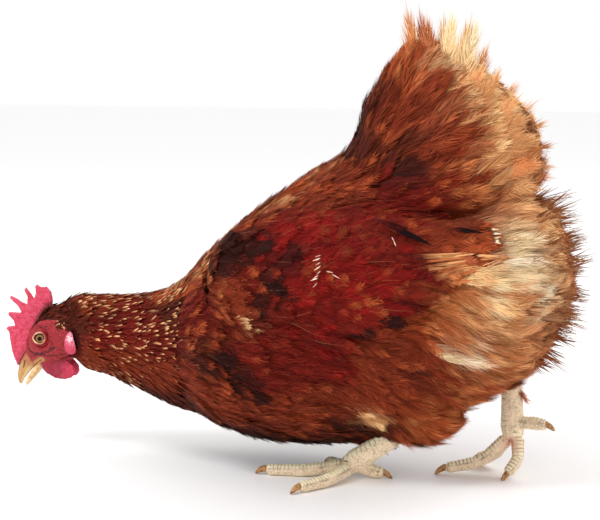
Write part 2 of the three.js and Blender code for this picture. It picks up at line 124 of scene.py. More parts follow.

# The plumage's markings on the left side, with the painted shade where it lies in shadow: the colour of the
# feathers, of their tips, how many of the feathers have such tips, the place in millimetres and how far it
# reaches.
MARKINGS_AND_SHADE = [
    # neck
    (UMBER, CHESTNUT, 0.2, (8, -212, 110), 10),
    (UMBER, CHESTNUT, 0.2, (10, -196, 120), 12),
    (UMBER, CHESTNUT, 0.1, (19, -172, 112), 14),
    (CHESTNUT, FLECK, 0.35, (10, -160, 132), 11),
    (CHESTNUT, FLECK, 0.45, (6, -138, 137), 12),
    (MAHOGANY, FLECK, 0.4, (25, -121, 125), 15),
    (MAHOGANY, FLECK, 0.35, (29, -136, 106), 15),
    (MAHOGANY, FLECK, 0.4, (38, -99, 113), 17),
    (UMBER, FLECK, 0.45, (38, -84, 128), 12),
    (CHESTNUT, RUST, 0.3, (24, -152, 84), 12),
    (CHESTNUT, GINGER, 0.35, (18, -160, 68), 12),
    (CHESTNUT, TAN, 0.3, (34, -122, 82), 16),
    (CHESTNUT, RUST, 0.4, (43, -92, 70), 16),
    (UMBER, CHESTNUT, 0.3, (30, -84, 52), 18),
    # shoulder and back
    (RUST, CREAM, 0.7, (22, -88, 150), 14),
    (RUST, TAN, 0.6, (30, -60, 168), 14),
    (RUST, TAN, 0.5, (34, -20, 204), 16),
    (RUST, TAN, 0.4, (24, 20, 232), 16),
    (RUST, GINGER, 0.4, (0, 0, 236), 22),
    (CHESTNUT, RUST, 0.5, (62, -8, 204), 12),
    (CHESTNUT, RUST, 0.4, (48, 40, 232), 14),
    (CHESTNUT, RUST, 0.4, (48, 64, 235), 14),
    # wing
    # painted shade: the near-black patches among the wing's markings stand for shadows between its feathers
    (PAINTED_SHADE_DARK, MAHOGANY, 0.3, (77, -16, 187), 12),
    (PAINTED_SHADE_DARK, CRIMSON, 0.3, (82, 6, 192), 12),
    (CRIMSON, MAHOGANY, 0.3, (84, 26, 198), 12),
    (PAINTED_SHADE_DARK, MAHOGANY, 0.3, (87, 36, 186), 10),
    (CHESTNUT, GINGER, 0.3, (88, -12, 151), 8),
    (MAHOGANY, RUST, 0.5, (90, 4, 162), 10),
    (RUST, CREAM, 0.6, (90, -1, 134), 5),
    (PAINTED_SHADE_DARK, MAHOGANY, 0.4, (94, 24, 156), 13),
    (CRIMSON, CHESTNUT, 0.3, (95, 44, 160), 12),
    (CRIMSON, RUST, 0.4, (95, 64, 170), 14),
    (CRIMSON, RUST, 0.4, (94, 88, 158), 14),
    (CRIMSON, CHESTNUT, 0.3, (88, 60, 196), 16),
    (CRIMSON, CHESTNUT, 0.4, (90, 112, 164), 14),
    (MAHOGANY, CRIMSON, 0.4, (97, 60, 138), 14),
    (MAHOGANY, CRIMSON, 0.4, (95, 36, 124), 12),
    # painted shadow just under the wing's lower edge
    (PAINTED_SHADE_DARK, MAHOGANY, 0.2, (92, 96, 129), 5),
    (PAINTED_SHADE_DARK, MAHOGANY, 0.2, (90, 115, 136), 5),
    (PAINTED_SHADE_DARK, MAHOGANY, 0.2, (88, 127, 147), 5),
    (MAHOGANY, CRIMSON, 0.3, (86, 118, 186), 12),
    (MAHOGANY, CHESTNUT, 0.4, (80, 134, 190), 10),
    (CHESTNUT, RUST, 0.4, (72, 156, 196), 10),
    (RUST, GINGER, 0.3, (74, 172, 194), 8),
    (CHESTNUT, GINGER, 0.4, (84, 142, 168), 8),
    # painted shadow in the gap between the wing and the tail
    (PAINTED_SHADE_DARK, UMBER, 0.1, (84, 105, 211), 4),
    (PAINTED_SHADE_DARK, UMBER, 0.1, (84, 117, 207), 5),
    (PAINTED_SHADE_DARK, UMBER, 0.1, (82, 129, 200), 4),
    (UMBER, MAHOGANY, 0.2, (75, 160, 207), 4),
    # breast, belly and flank; the near-black patches here are painted shade on the lower body
    (MAHOGANY, RUST, 0.4, (66, -44, 126), 14),
    (UMBER, CHESTNUT, 0.4, (72, -36, 108), 12),
    (PAINTED_SHADE_DARK, CHESTNUT, 0.4, (76, -24, 94), 12),
    (MAHOGANY, CHESTNUT, 0.3, (85, 14, 104), 16),
    (PAINTED_SHADE_DARK, CHESTNUT, 0.4, (76, -4, 78), 12),
    (MAHOGANY, CRIMSON, 0.5, (85, 60, 108), 16),
    (MAHOGANY, CHESTNUT, 0.4, (83, 50, 88), 14),
    (CHESTNUT, RUST, 0.3, (62, -34, 60), 18),
    (CHESTNUT, RUST, 0.4, (74, 52, 74), 14),
    (CHESTNUT, RUST, 0.2, (60, 30, 50), 16),
    (UMBER, RUST, 0.3, (40, -50, 40), 18),
    (PAINTED_SHADE_DARK, UMBER, 0.4, (30, 30, 26), 18),
    (PAINTED_SHADE_DARK, UMBER, 0.4, (0, 0, 24), 30),
    (PAINTED_SHADE_DARK, CHESTNUT, 0.3, (50, 62, 40), 12),
    (CHESTNUT, RUST, 0.4, (78, 98, 104), 14),
    (CHESTNUT, RUST, 0.3, (74, 112, 118), 12),
    # thigh
    (CHESTNUT, RUST, 0.4, (70, 108, 78), 16),
    (TAN, CREAM, 0.4, (58, 90, 54), 7),
    (UMBER, CHESTNUT, 0.2, (52, 104, 48), 7),
    (UMBER, CHESTNUT, 0.3, (66, 128, 90), 7),
    (RUST, GINGER, 0.4, (54, 126, 56), 14),
    # tail
    (UMBER, CHESTNUT, 0.3, (18, 66, 278), 9),
    (UMBER, RUST, 0.4, (16, 78, 300), 12),
    (UMBER, RUST, 0.3, (30, 80, 262), 14),
    (CHESTNUT, RUST, 0.2, (30, 102, 292), 14),
    (RUST, GINGER, 0.4, (18, 106, 330), 16),
    (GINGER, TAN, 0.4, (12, 100, 356), 14),
    (GINGER, TAN, 0.5, (8, 102, 368), 12),
    (CREAM, IVORY, 0.3, (14, 146, 342), 16),
    (TAN, CREAM, 0.4, (16, 156, 316), 10),
    (CHESTNUT, RUST, 0.4, (28, 134, 308), 13),
    (UMBER, CHESTNUT, 0.3, (44, 114, 260), 9),
    # painted shade beside the tail's root
    (PAINTED_SHADE_DARK, CHESTNUT, 0.3, (53, 122, 250), 9),
    (CHESTNUT, RUST, 0.3, (48, 140, 262), 11),
    (CHESTNUT, RUST, 0.4, (42, 156, 276), 12),
    (TAN, CREAM, 0.4, (26, 176, 302), 16),
    (TAN, CREAM, 0.3, (34, 184, 268), 14),
    (GINGER, TAN, 0.4, (20, 208, 262), 16),
    (CHESTNUT, GINGER, 0.4, (53, 160, 241), 13),
    (MAHOGANY, RUST, 0.4, (58, 136, 228), 14),
    (MAHOGANY, CHESTNUT, 0.4, (60, 96, 224), 15),
    (UMBER, CHESTNUT, 0.2, (70, 172, 212), 5),
    # fluff
    (TAN, CREAM, 0.5, (66, 197, 214), 7),
    (IVORY, CREAM, 0.5, (68, 194, 200), 7),
    (IVORY, WHITE, 0.3, (66, 203, 186), 9),
    (IVORY, CREAM, 0.5, (62, 212, 176), 8),
    (IVORY, WHITE, 0.3, (61, 213, 157), 8),
    (CREAM, TAN, 0.4, (80, 173, 175), 6),
    (CREAM, IVORY, 0.4, (76, 185, 169), 6),
    (IVORY, CREAM, 0.4, (78, 185, 152), 6),
    (GINGER, TAN, 0.4, (74, 198, 162), 6),
    (IVORY, CREAM, 0.4, (58, 216, 134), 6),
    (IVORY, WHITE, 0.3, (78, 168, 115), 7),
    (TAN, CREAM, 0.4, (34, 222, 204), 12),
    (TAN, CREAM, 0.4, (44, 233, 178), 10),
    (TAN, CREAM, 0.4, (50, 230, 154), 11),
    (TAN, GINGER, 0.4, (0, 238, 176), 20),
    (GINGER, TAN, 0.6, (84, 162, 142), 11),
    (GINGER, TAN, 0.4, (84, 172, 160), 8),
    (GINGER, TAN, 0.5, (78, 202, 148), 9),
    (RUST, GINGER, 0.6, (80, 144, 126), 10),
    (CHESTNUT, RUST, 0.4, (77, 134, 112), 9),
    (GINGER, TAN, 0.5, (64, 190, 108), 14),
    (TAN, GINGER, 0.4, (56, 210, 116), 12),
    (CHESTNUT, GINGER, 0.4, (58, 152, 88), 11),
    (RUST, GINGER, 0.4, (20, 180, 84), 18),
]
WANDER = 5 * MM  # how far the edges of the markings and of the painted shade stray
WANDER_SIZE = 12 * MM  # over which they stray
MOTTLE = 16 * MM  # size of the darker and lighter places in the plumage


def noise_at(points, size, seed=0.0):
    """Smooth random numbers about zero that change over this distance."""
    aside = Vector((seed, seed * 1.7, 0))
    return np.array([noise.noise(Vector(point) / size + aside) for point in points.tolist()])


def on_left(points):
    """These points, with those of the right side mirrored to the left."""
    return np.abs(points) * [1, 0, 0] + points * [0, 1, 1]


def plumage_at(points):
    """Feather colour, tip colour and share of tipped feathers at these points."""
    places = np.array([entry[3] for entry in MARKINGS_AND_SHADE]) * MM
    reach = np.array([entry[4] for entry in MARKINGS_AND_SHADE]) * MM
    astray = np.stack([noise_at(points, WANDER_SIZE, seed) for seed in (11, 23, 37)], axis=1) * WANDER
    folded = on_left(points) + astray
    apart = np.linalg.norm(folded[:, None] - places, axis=2) / reach
    weight = 1 / (apart ** 2 + 0.25) ** 3
    weight /= weight.sum(axis=1, keepdims=True)
    colour = weight @ np.array([entry[0] for entry in MARKINGS_AND_SHADE])
    tip = weight @ np.array([entry[1] for entry in MARKINGS_AND_SHADE])
    share = weight @ np.array([entry[2] for entry in MARKINGS_AND_SHADE])
    mottle = 1 + 0.36 * noise_at(points, MOTTLE)[:, None] + 0.25 * noise_at(points, MOTTLE / 3, 5)[:, None]
    return colour * mottle, tip * mottle, share


# ---------------------------------------------------------------- the lie of the plumage

# Which way the feathers point on the left side, at places in millimetres.
LIE = [
    ((0, -215, 122), (0, 0.8, 0.6)),
    ((0, -196, 124), (0, 1, 0.2)),
    ((14, -198, 100), (0, 0.8, 0.5)),
    ((14, -178, 106), (0, 1, 0.2)),
    ((8, -180, 74), (0, 1, -0.1)),
    ((0, -150, 137), (0, 1, 0.08)),
    ((28, -145, 98), (0, 1, 0)),
    ((0, -145, 58), (0, 1, -0.25)),
    ((0, -90, 155), (0, 0.85, 0.5)),
    ((45, -85, 130), (0.2, 1, 0.2)),
    ((30, -85, 55), (0.1, 1, -0.25)),
    ((0, -40, 205), (0, 0.8, 0.6)),
    ((0, 10, 238), (0, 0.9, 0.45)),
    ((45, 10, 215), (0.1, 1, 0.3)),
    ((0, 40, 250), (0, 0.85, 0.55)),
    ((60, 60, 212), (0, 1, 0.15)),
    ((50, 100, 232), (0, 1, 0.05)),
    ((80, -30, 165), (0, 1, -0.1)),
    ((94, 20, 150), (0, 1, 0.05)),
    ((94, 60, 165), (0, 1, 0.2)),
    ((88, 100, 170), (0, 1, 0.38)),
    ((80, 140, 185), (0, 1, 0.35)),
    ((60, -20, 60), (0, 1, 0)),
    ((0, 0, 22), (0, 1, 0.05)),
    ((80, 30, 90), (0, 1, 0.05)),
    ((66, 80, 90), (0, 0.85, -0.5)),
    ((50, 105, 45), (0, 0.7, -0.7)),
    ((30, 140, 60), (0, 1, 0.1)),
    ((70, 150, 190), (0.1, 1, -0.3)),
    ((84, 165, 140), (0.1, 0.85, -0.4)),
    ((68, 197, 205), (0.1, 0.8, 0.6)),
    ((55, 222, 190), (0.1, 1, 0.35)),
    ((60, 212, 165), (0.2, 1, 0.1)),
    ((55, 228, 150), (0.3, 1, -0.1)),
    ((0, 240, 190), (0, 1, 0.25)),
    ((0, 240, 150), (0, 1, -0.1)),
    ((45, 205, 100), (0.2, 0.85, -0.5)),
    ((50, 155, 80), (0.1, 0.75, -0.6)),
    ((0, 60, 280), (0, 0.3, 0.95)),
    ((0, 90, 330), (0, 0.3, 0.95)),
    ((46, 90, 262), (0, 0.5, 0.87)),
    ((32, 130, 295), (0, 0.7, 0.7)),
    ((42, 150, 255), (0, 0.9, 0.4)),
    ((20, 190, 275), (0, 0.9, 0.45)),
    ((58, 120, 228), (0, 1, 0.25)),
    ((0, 180, 240), (0, 1, 0.1)),
]
LIE_REACH = 16 * MM


def lie_at(points):
    """The direction of the feathers at these points."""
    places = np.array([place for place, _ in LIE]) * MM
    headings = np.array([heading for _, heading in LIE], float)
    headings /= np.linalg.norm(headings, axis=1, keepdims=True)
    apart = ((on_left(points)[:, None] - places) ** 2).sum(axis=2)
    weight = 1 / (apart + LIE_REACH ** 2) ** 2
    heading = weight @ headings / weight.sum(axis=1, keepdims=True)
    heading[:, 0] *= np.sign(points[:, 0])
    return heading


def unit(vectors):
    """These vectors, each with a length of one."""
    return vectors / np.maximum(np.linalg.norm(vectors, axis=-1, keepdims=True), 1e-12)


# ---------------------------------------------------------------- meshes


def make_mesh(name, points, faces):
    """A mesh from an array of points and an array of faces that all have the same number of corners."""
    mesh = bpy.data.meshes.new(name)
    mesh.vertices.add(len(points))
    mesh.vertices.foreach_set("co", np.asarray(points, np.float32).ravel())
    corners = faces.shape[1]
    mesh.loops.add(faces.size)
    mesh.loops.foreach_set("vertex_index", faces.astype(np.int32).ravel())
    mesh.polygons.add(len(faces))
    mesh.polygons.foreach_set("loop_start", np.arange(0, faces.size, corners, dtype=np.int32))
    mesh.update(calc_edges=True)
    mesh.polygons.foreach_set("use_smooth", np.ones(len(faces), bool))
    return mesh


def paint(mesh, colours, lightest=SKIN_LIGHTEST):
    """Gives each vertex its colour, kept off black and pure white."""
    layer = mesh.color_attributes.new("Colour", "FLOAT_COLOR", "POINT")
    opaque = np.ones((len(mesh.vertices), 4), np.float32)
    opaque[:, :3] = np.clip(colours, DARKEST, lightest)
    layer.data.foreach_set("color", opaque.ravel())


def joined(name, parts):
    """One triangle mesh of several painted ones. Each keeps its own material, by its number in the list."""
    points = [points_of(part) for part in parts]
    faces = [triangles_of(part) for part in parts]
    mesh = make_mesh(name, np.concatenate(points), renumbered(points, faces))
    paint(mesh, np.concatenate([colours_of(part) for part in parts]))
    numbers = np.repeat(np.arange(len(parts)), [len(part) for part in faces])
    mesh.polygons.foreach_set("material_index", numbers)
    return mesh


def renumbered(points, faces):
    """The faces of several meshes in one array, once their points have been put in one."""
    before = np.cumsum([0] + [len(part) for part in points[:-1]])
    return np.concatenate([part + first for part, first in zip(faces, before)])


def colours_of(mesh):
    colours = np.empty(len(mesh.vertices) * 4, np.float32)
    mesh.color_attributes["Colour"].data.foreach_get("color", colours)
    return colours.reshape(-1, 4)[:, :3]


def set_uv(mesh, places):
    """The OFBake map, from a place for each vertex."""
    corners = np.empty(len(mesh.loops), np.int32)
    mesh.loops.foreach_get("vertex_index", corners)
    layer = mesh.uv_layers.new(name="OFBake")
    layer.data.foreach_set("uv", places[corners].astype(np.float32).ravel())


def points_of(mesh):
    points = np.empty(len(mesh.vertices) * 3, np.float32)
    mesh.vertices.foreach_get("co", points)
    return points.reshape(-1, 3).astype(float)


def normals_of(mesh):
    normals = np.empty(len(mesh.vertices) * 3, np.float32)
    mesh.vertex_normals.foreach_get("vector", normals)
    return normals.reshape(-1, 3).astype(float)


def move_points(mesh, points):
    mesh.vertices.foreach_set("co", points.astype(np.float32).ravel())
    mesh.update()


def show(name, mesh, materials, slot, *replaced):
    """Puts a piece in the scene, riding on the hen, in place of these CAD nodes."""
    piece = bpy.data.objects.new(name, mesh)
    bpy.context.scene.collection.objects.link(piece)
    for finish in materials:
        mesh.materials.append(finish)
    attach(piece, "root")
    if replaced:
        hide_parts(*replaced)


def nodes_joined(names, swell):
    """The CAD solids with these names in one mesh, swollen a little so that neighbours meet."""
    gathered = bmesh.new()
    for name in names:
        part = bmesh.new()
        part.from_mesh(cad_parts[name].data)
        bmesh.ops.remove_doubles(part, verts=part.verts, dist=1e-5)
        part.normal_update()
        for vertex in part.verts:
            vertex.co += vertex.normal * swell
        shell = bpy.data.meshes.new("shell")
        part.to_mesh(shell)
        gathered.from_mesh(shell)
        part.free()
        bpy.data.meshes.remove(shell)
    mesh = bpy.data.meshes.new("joined")
    gathered.to_mesh(mesh)
    gathered.free()
    return mesh


def with_modifiers(mesh, add_modifiers):
    """The mesh that is left once modifiers have been applied to this one."""
    holder = bpy.data.objects.new("holder", mesh)
    bpy.context.scene.collection.objects.link(holder)
    add_modifiers(holder)
    graph = bpy.context.evaluated_depsgraph_get()
    result = bpy.data.meshes.new_from_object(holder.evaluated_get(graph))
    bpy.data.objects.remove(holder)
    return result


def unite(mesh, voxel):
    """One closed surface round everything in the mesh."""

    def add_modifiers(holder):
        remesh = holder.modifiers.new("unite", "REMESH")
        remesh.mode = "VOXEL"
        remesh.voxel_size = voxel

    return with_modifiers(mesh, add_modifiers)


def inside(mesh, depth, voxel):
    """The surface this deep inside a closed mesh. What is thinner than twice the depth is left out."""
    group = bpy.data.node_groups.new("inside", "GeometryNodeTree")
    group.interface.new_socket("Geometry", in_out="INPUT", socket_type="NodeSocketGeometry")
    group.interface.new_socket("Geometry", in_out="OUTPUT", socket_type="NodeSocketGeometry")
    start = group.nodes.new("NodeGroupInput")
    to_volume = group.nodes.new("GeometryNodeMeshToVolume")
    to_mesh = group.nodes.new("GeometryNodeVolumeToMesh")
    end = group.nodes.new("NodeGroupOutput")
    to_volume.resolution_mode = "VOXEL_SIZE"
    to_volume.inputs["Voxel Size"].default_value = voxel
    to_volume.inputs["Interior Band Width"].default_value = depth * 2
    to_volume.inputs["Density"].default_value = 1
    to_mesh.resolution_mode = "GRID"
    to_mesh.inputs["Threshold"].default_value = 0.5
    group.links.new(start.outputs[0], to_volume.inputs["Mesh"])
    group.links.new(to_volume.outputs[0], to_mesh.inputs["Volume"])
    group.links.new(to_mesh.outputs[0], end.inputs[0])

    def add_modifiers(holder):
        holder.modifiers.new("inside", "NODES").node_group = group

    return with_modifiers(mesh, add_modifiers)


def neighbours_mean(mesh):
    """A function that gives the mean of each vertex's neighbours' values, from a value for every vertex."""
    edges = np.empty(len(mesh.edges) * 2, np.int32)
    mesh.edges.foreach_get("vertices", edges)
    first, second = edges.reshape(-1, 2).T
    size = len(mesh.vertices)
    count = np.maximum(np.bincount(edges, minlength=size), 1)

    def mean(values):
        return (np.bincount(first, values[second], size) + np.bincount(second, values[first], size)) / count

    return mean


def relax(mesh, rounds, pull=0.5, push=0.5):
    """Evens out the surface. Each round pulls the vertices towards their neighbours and then pushes them
    back by a part of that, so that thin places keep their size."""
    points = points_of(mesh)
    mean = neighbours_mean(mesh)
    for _ in range(rounds):
        for share in (pull, -pull * push):
            target = np.stack([mean(points[:, axis]) for axis in range(3)], axis=1)
            points = points + (target - points) * share
    move_points(mesh, points)


def tree_of(node):
    """The surface of this CAD solid, for finding its nearest points."""
    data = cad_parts[node].data
    corners = [vertex.co for vertex in data.vertices]
    return BVHTree.FromPolygons(corners, [face.vertices[:] for face in data.polygons])


def distance_to(node, points):
    """How far points are from the surface of this CAD solid."""
    tree = tree_of(node)
    return np.array([tree.find_nearest(point)[3] for point in points.tolist()])


def outside_by(nodes, points):
    """How far points are outside the nearest surface of these CAD solids. It is negative inside."""
    nearest = np.full(len(points), np.inf)
    beyond = np.zeros(len(points))
    for node in nodes:
        tree = tree_of(node)
        found = [tree.find_nearest(point) for point in points.tolist()]
        apart = np.array([hit[3] for hit in found])
        away = points - np.array([hit[0] for hit in found])
        side = (away * np.array([hit[1] for hit in found])).sum(axis=1)
        closer = apart < nearest
        nearest[closer] = apart[closer]
        beyond[closer] = (np.sign(side) * apart)[closer]
    return beyond


def triangles_of(mesh):
    mesh.calc_loop_triangles()
    corners = np.empty(len(mesh.loop_triangles) * 3, np.int32)
    mesh.loop_triangles.foreach_get("vertices", corners)
    return corners.reshape(-1, 3)


def unwrapped(mesh):
    """A triangle mesh like this one, and the place of each of its corners on an unwrap of its own shape."""
    flat = make_mesh("unwrapped", points_of(mesh), triangles_of(mesh))
    holder = bpy.data.objects.new("unwrapped", flat)
    bpy.context.scene.collection.objects.link(holder)
    bpy.context.view_layer.objects.active = holder
    holder.select_set(True)
    flat.uv_layers.new(name="OFBake")
    bpy.ops.object.mode_set(mode="EDIT")
    bpy.ops.mesh.select_all(action="SELECT")
    bpy.ops.uv.smart_project(angle_limit=math.radians(66), island_margin=0.002)
    bpy.ops.object.mode_set(mode="OBJECT")
    places = np.empty(len(flat.loops) * 2, np.float32)
    flat.uv_layers["OFBake"].data.foreach_get("uv", places)
    bpy.data.objects.remove(holder)
    return flat, places.reshape(-1, 3, 2).astype(float)


# ---------------------------------------------------------------- skin

COAT_DEPTH = 4.5 * MM  # of the feathers over the body's skin
FLUFF_DEPTH = 5 * MM  # more than that, under the loose feathers behind
TUFTED_DEPTH = 11 * MM  # more again, where tufts stand out at the very rear
HEAD_SHALLOWER = 2 * MM  # less than that, under the head's small feathers
BACK_SHALLOWER = 2.4 * MM  # less than that, on the back
TAIL_FRONT_DEEPER = 3.5 * MM  # more than that, in the hollow where the back meets the tail
TAIL_FRONT = (0.064, 0.274)  # y, z of that hollow
TAIL_FRONT_REACH = 0.013
THROAT_FULLER = 3.5 * MM  # less again, under the throat
THROAT = (-0.176, 0.077)  # y, z of its underside
THROAT_REACH = 0.011
REAR_FROM, REAR_UP_TO = (0.130, 0.200), (0.225, 0.200)  # y and z over which the loose feathers begin and end
HINDMOST_FROM = (0.195, 0.228)  # y over which the tufted rear begins
BACK_FROM, BACK_UP_TO = (-0.105, -0.07), (0.09, 0.07)  # y over which the back begins and ends
BACK_FACES_UP = (0.2, 0.7)  # how upright the surface stands at the back's edges and on it
HEAD_REACH = 75 * MM  # of what counts as near the head, from between the eyes
SHADE_UNDER_FEATHERS = np.array([0.45, 0.28, 0.2])  # painted shade under the coat: the skin's colour there, as shares of the feathers'
BODY_VOXEL = 2.6 * MM
HEAD_VOXEL = 0.45 * MM
FOOT_VOXEL = 0.62 * MM
BODY_NODES = ["trunk", "fluff", "neck", "head", "tail"]
BODY_NODES += [f"{part}_{side}" for part in ("thigh", "wing", "shank") for side in SIDES]
HEAD_NODES = ["head", "comb"] + [f"{part}_{side}" for part in ("wattle", "earlobe", "eye") for side in SIDES]
FOOT_NODES = {side: [f"shank_{side}"] + [f"toe_{toe}_{side}" for toe in TOES] for side in SIDES}
FLESH_NODES = sorted({*BODY_NODES, *HEAD_NODES, *FOOT_NODES["left"], *FOOT_NODES["right"]})
FLESH_NODES = [name for name in FLESH_NODES if not name.startswith("eye")]


def smooth_step(low, high, value):
    """Nothing before low, one beyond high, and a smooth change between them."""
    t = np.clip((value - low) / (high - low), 0, 1)
    return t * t * (3 - 2 * t)


def bump_at(apart, reach):
    """One at no distance, and falling to almost nothing at twice the reach."""
    return np.exp(-(apart / reach) ** 2)


def full_at_throat(points):
    """How much shallower than elsewhere the skin lies here because the throat is full."""
    return THROAT_FULLER * bump_at(np.linalg.norm(points[:, 1:] - THROAT, axis=1), THROAT_REACH)


def sunk_behind_comb(points):
    """How much deeper than elsewhere the skin lies here because the crown drops behind the comb."""
    forward, up = head_axes(points)
    return NAPE_DEEPER * bump_at(np.hypot(forward - NAPE[0], up - NAPE[1]), NAPE_REACH)


def body_skin():
    """The skin under the feathers, as deep inside the CAD solids as the coat is thick."""
    mesh = unite(nodes_joined(BODY_NODES, 0.6 * MM), BODY_VOXEL)
    mesh = inside(mesh, COAT_DEPTH, BODY_VOXEL)
    relax(mesh, 5)
    points, normals = points_of(mesh), normals_of(mesh)
    rear = smooth_step(*REAR_FROM, points[:, 1]) * smooth_step(*REAR_UP_TO, points[:, 2])
    hindmost = smooth_step(*HINDMOST_FROM, points[:, 1])
    head = smooth_step(HEAD_REACH, 50 * MM, np.linalg.norm(points - EYE, axis=1))
    back = smooth_step(*BACK_FACES_UP, normals[:, 2]) * smooth_step(*BACK_FROM, points[:, 1])
    back *= smooth_step(*BACK_UP_TO, points[:, 1])
    front = bump_at(np.linalg.norm(points[:, 1:] - TAIL_FRONT, axis=1), TAIL_FRONT_REACH)
    deeper = rear * FLUFF_DEPTH + hindmost * TUFTED_DEPTH + front * TAIL_FRONT_DEEPER
    deeper += sunk_behind_comb(points) - full_at_throat(points)
    deeper -= head * HEAD_SHALLOWER + back * BACK_SHALLOWER
    move_points(mesh, points - normals * deeper[:, None])
    relax(mesh, 3)
    # the skin is painted a darker, redder copy of the plumage: painted shade under the coat
    paint(mesh, plumage_at(points_of(mesh))[0] * SHADE_UNDER_FEATHERS)
    return mesh


def line_place(points, line):
    """How far points are from a line of straight stretches, how far along it is their nearest place, and the
    line's heading there."""
    nearest = np.full(len(points), np.inf)
    along_line = np.zeros(len(points))
    heading = np.zeros(points.shape)
    before = 0
    for start, end in zip(line[:-1], line[1:]):
        stretch = np.linalg.norm(end - start)
        ahead = (end - start) / stretch
        place = np.clip((points - start) @ ahead, 0, stretch)
        apart = np.linalg.norm(points - start - place[:, None] * ahead, axis=1)
        closer = apart < nearest
        nearest[closer] = apart[closer]
        along_line[closer] = before + place[closer]
        heading[closer] = ahead
        before += stretch
    return nearest, along_line, heading


def near_line(forward, up, line, breadth):
    """One on a line of the head's side view, falling to almost nothing at twice this breadth from it."""
    flat = np.stack([forward, up], axis=1)
    return bump_at(line_place(flat, np.array(line, float))[0], breadth)


# The edge of the head's feathers in its side view: heights above the eyes, and how far forward of them the
# edge is there.
FEATHER_EDGE_UP = [-40, -33, -28, -21, -10, -2.6, 3.8, 7.5, 9.3, 12, 14]
FEATHER_EDGE_FORWARD = [1, -8, -14, -19, -25.5, -21.8, -16.4, -12.3, -9.6, 0, 6]
# Folds of the bare face, as lines of its side view.
FOLD_BELOW_EYE = [(6.2, 12.6), (12.5, 8.6), (16.2, 3.2), (15.5, -2.5), (11, -8), (5.5, -12.4), (-1, -15)]
FOLD_BEHIND_EYE = [(-7, 9), (-12.6, -1), (-10, -7.1), (-4.5, -11.5), (1.1, -12.4)]
FOLD_OVER_WATTLE = [(20, -12), (15.8, -17.6), (11.5, -22.1), (3.9, -26.2), (-5.7, -30.7)]
FOLD_FROM_BILL = [(22, 2), (18.6, -2), (13.3, -6.5), (8.8, -14), (3.2, -21.7), (-3, -25.5)]
GAPE = [(35, -5.2), (29, -6.2), (23, -7.6), (16, -10.6)]
NOSTRIL = [(28, 2.6), (33.8, 0.6)]
NOSTRIL_DEPTH = 1.1 * MM
EAR_TUFT = (-19.5, -8.5)  # forward, up
EAR_TUFT_REACH = 3.4
COMB_GAP = 1.7 * MM  # between the comb and the crown's feathers
NEAR_COMB = 48 * MM  # from between the eyes
NAPE = (-34, 12)  # where the crown drops behind the comb
NAPE_REACH = 9
NAPE_DEEPER = 3 * MM  # than the CAD head's, there
HEAD_FEATHERS_RISE = 1.2 * MM  # how far they may reach beyond the CAD head and neck
LOBE_WHITE = (-19, -23.8)  # the middle of the earlobe's white mark
LOBE_WHITE_REACH = 4.2
LID_MIDDLE = (-0.8, -0.4)  # the middle of the gap between the lids
HEAD_FEATHERS_END = 16  # how far behind the edge of the head's feathers those of the neck begin
LID_OPENING = 4.3  # half of the gap between the lids
LID_OVER_BALL = 0.7  # how far the lids stand out from the eyeball
LID_RING = 1.9  # from one ring of wrinkles round the eye to the next


def behind_feather_edge(forward, up):
    """How far points of the head are behind the edge of its feathers, in millimetres."""
    return np.interp(up, FEATHER_EDGE_UP, FEATHER_EDGE_FORWARD) - forward


def eyeball_out(apart):
    """How far out the eyeball's surface is at this distance from its axis."""
    return EYE_OUT / MM + np.sqrt((EYE_RADIUS / MM) ** 2 - np.minimum(apart, 7.4) ** 2)


def head_owner(points):
    """Which CAD solid each point of the head's skin belongs to."""
    nodes = ["head", "neck", "comb"] + [f"{part}_{side}" for part in ("wattle", "earlobe") for side in SIDES]
    nearest = np.argmin([distance_to(node, points) for node in nodes], axis=0)
    return np.array([node.split("_")[0] for node in nodes])[nearest]


def softened(mesh, values, rounds):
    """Each vertex's value, evened out with its neighbours'."""
    mean = neighbours_mean(mesh)
    for _ in range(rounds):
        values = (values + mean(values)) / 2
    return values


def head_marks(mesh):
    """How much of each part and of each mark there is at each point of the head's skin."""
    points = points_of(mesh)
    marks = SimpleNamespace()
    owner = head_owner(points)
    marks.comb, marks.wattle, marks.lobe = (
        softened(mesh, (owner == name) * 1.0, 5) for name in ("comb", "wattle", "earlobe")
    )
    forward, up = head_axes(points)
    marks.forward, marks.up = forward, up
    marks.behind = behind_feather_edge(forward, up)
    face = np.clip(1 - marks.comb - marks.wattle - marks.lobe, 0, 1)
    marks.feathered = face * smooth_step(-1, 1, marks.behind)
    marks.bare = face * (1 - marks.feathered)
    marks.from_lids = np.hypot(forward - LID_MIDDLE[0], up - LID_MIDDLE[1])

    marks.gape = near_line(forward, up, GAPE, 2.4)
    deep = near_line(forward, up, FOLD_BELOW_EYE, 1.0) + near_line(forward, up, FOLD_OVER_WATTLE, 1.3)
    shallow = 0.5 * near_line(forward, up, FOLD_BEHIND_EYE, 0.9)
    shallow += 0.6 * near_line(forward, up, FOLD_FROM_BILL, 0.8)
    marks.folds = np.clip(deep + shallow + near_line(forward, up, GAPE, 0.6), 0, 1)
    marks.coarse = noise_at(points, 3.5 * MM)
    marks.grain = noise_at(points, 1.3 * MM, 3)
    marks.fine = noise_at(points, 0.8 * MM, 9)
    marks.rings = np.cos((marks.from_lids - 7.2) * 2 * math.pi / LID_RING + marks.coarse * 1.5)
    marks.rings *= bump_at(marks.from_lids - 8.6, 3.4)
    marks.wrinkles = 1 - np.abs(noise_at(points * [1, 0.7, 1.2], 2.4 * MM, 13)) * 3.2
    return marks


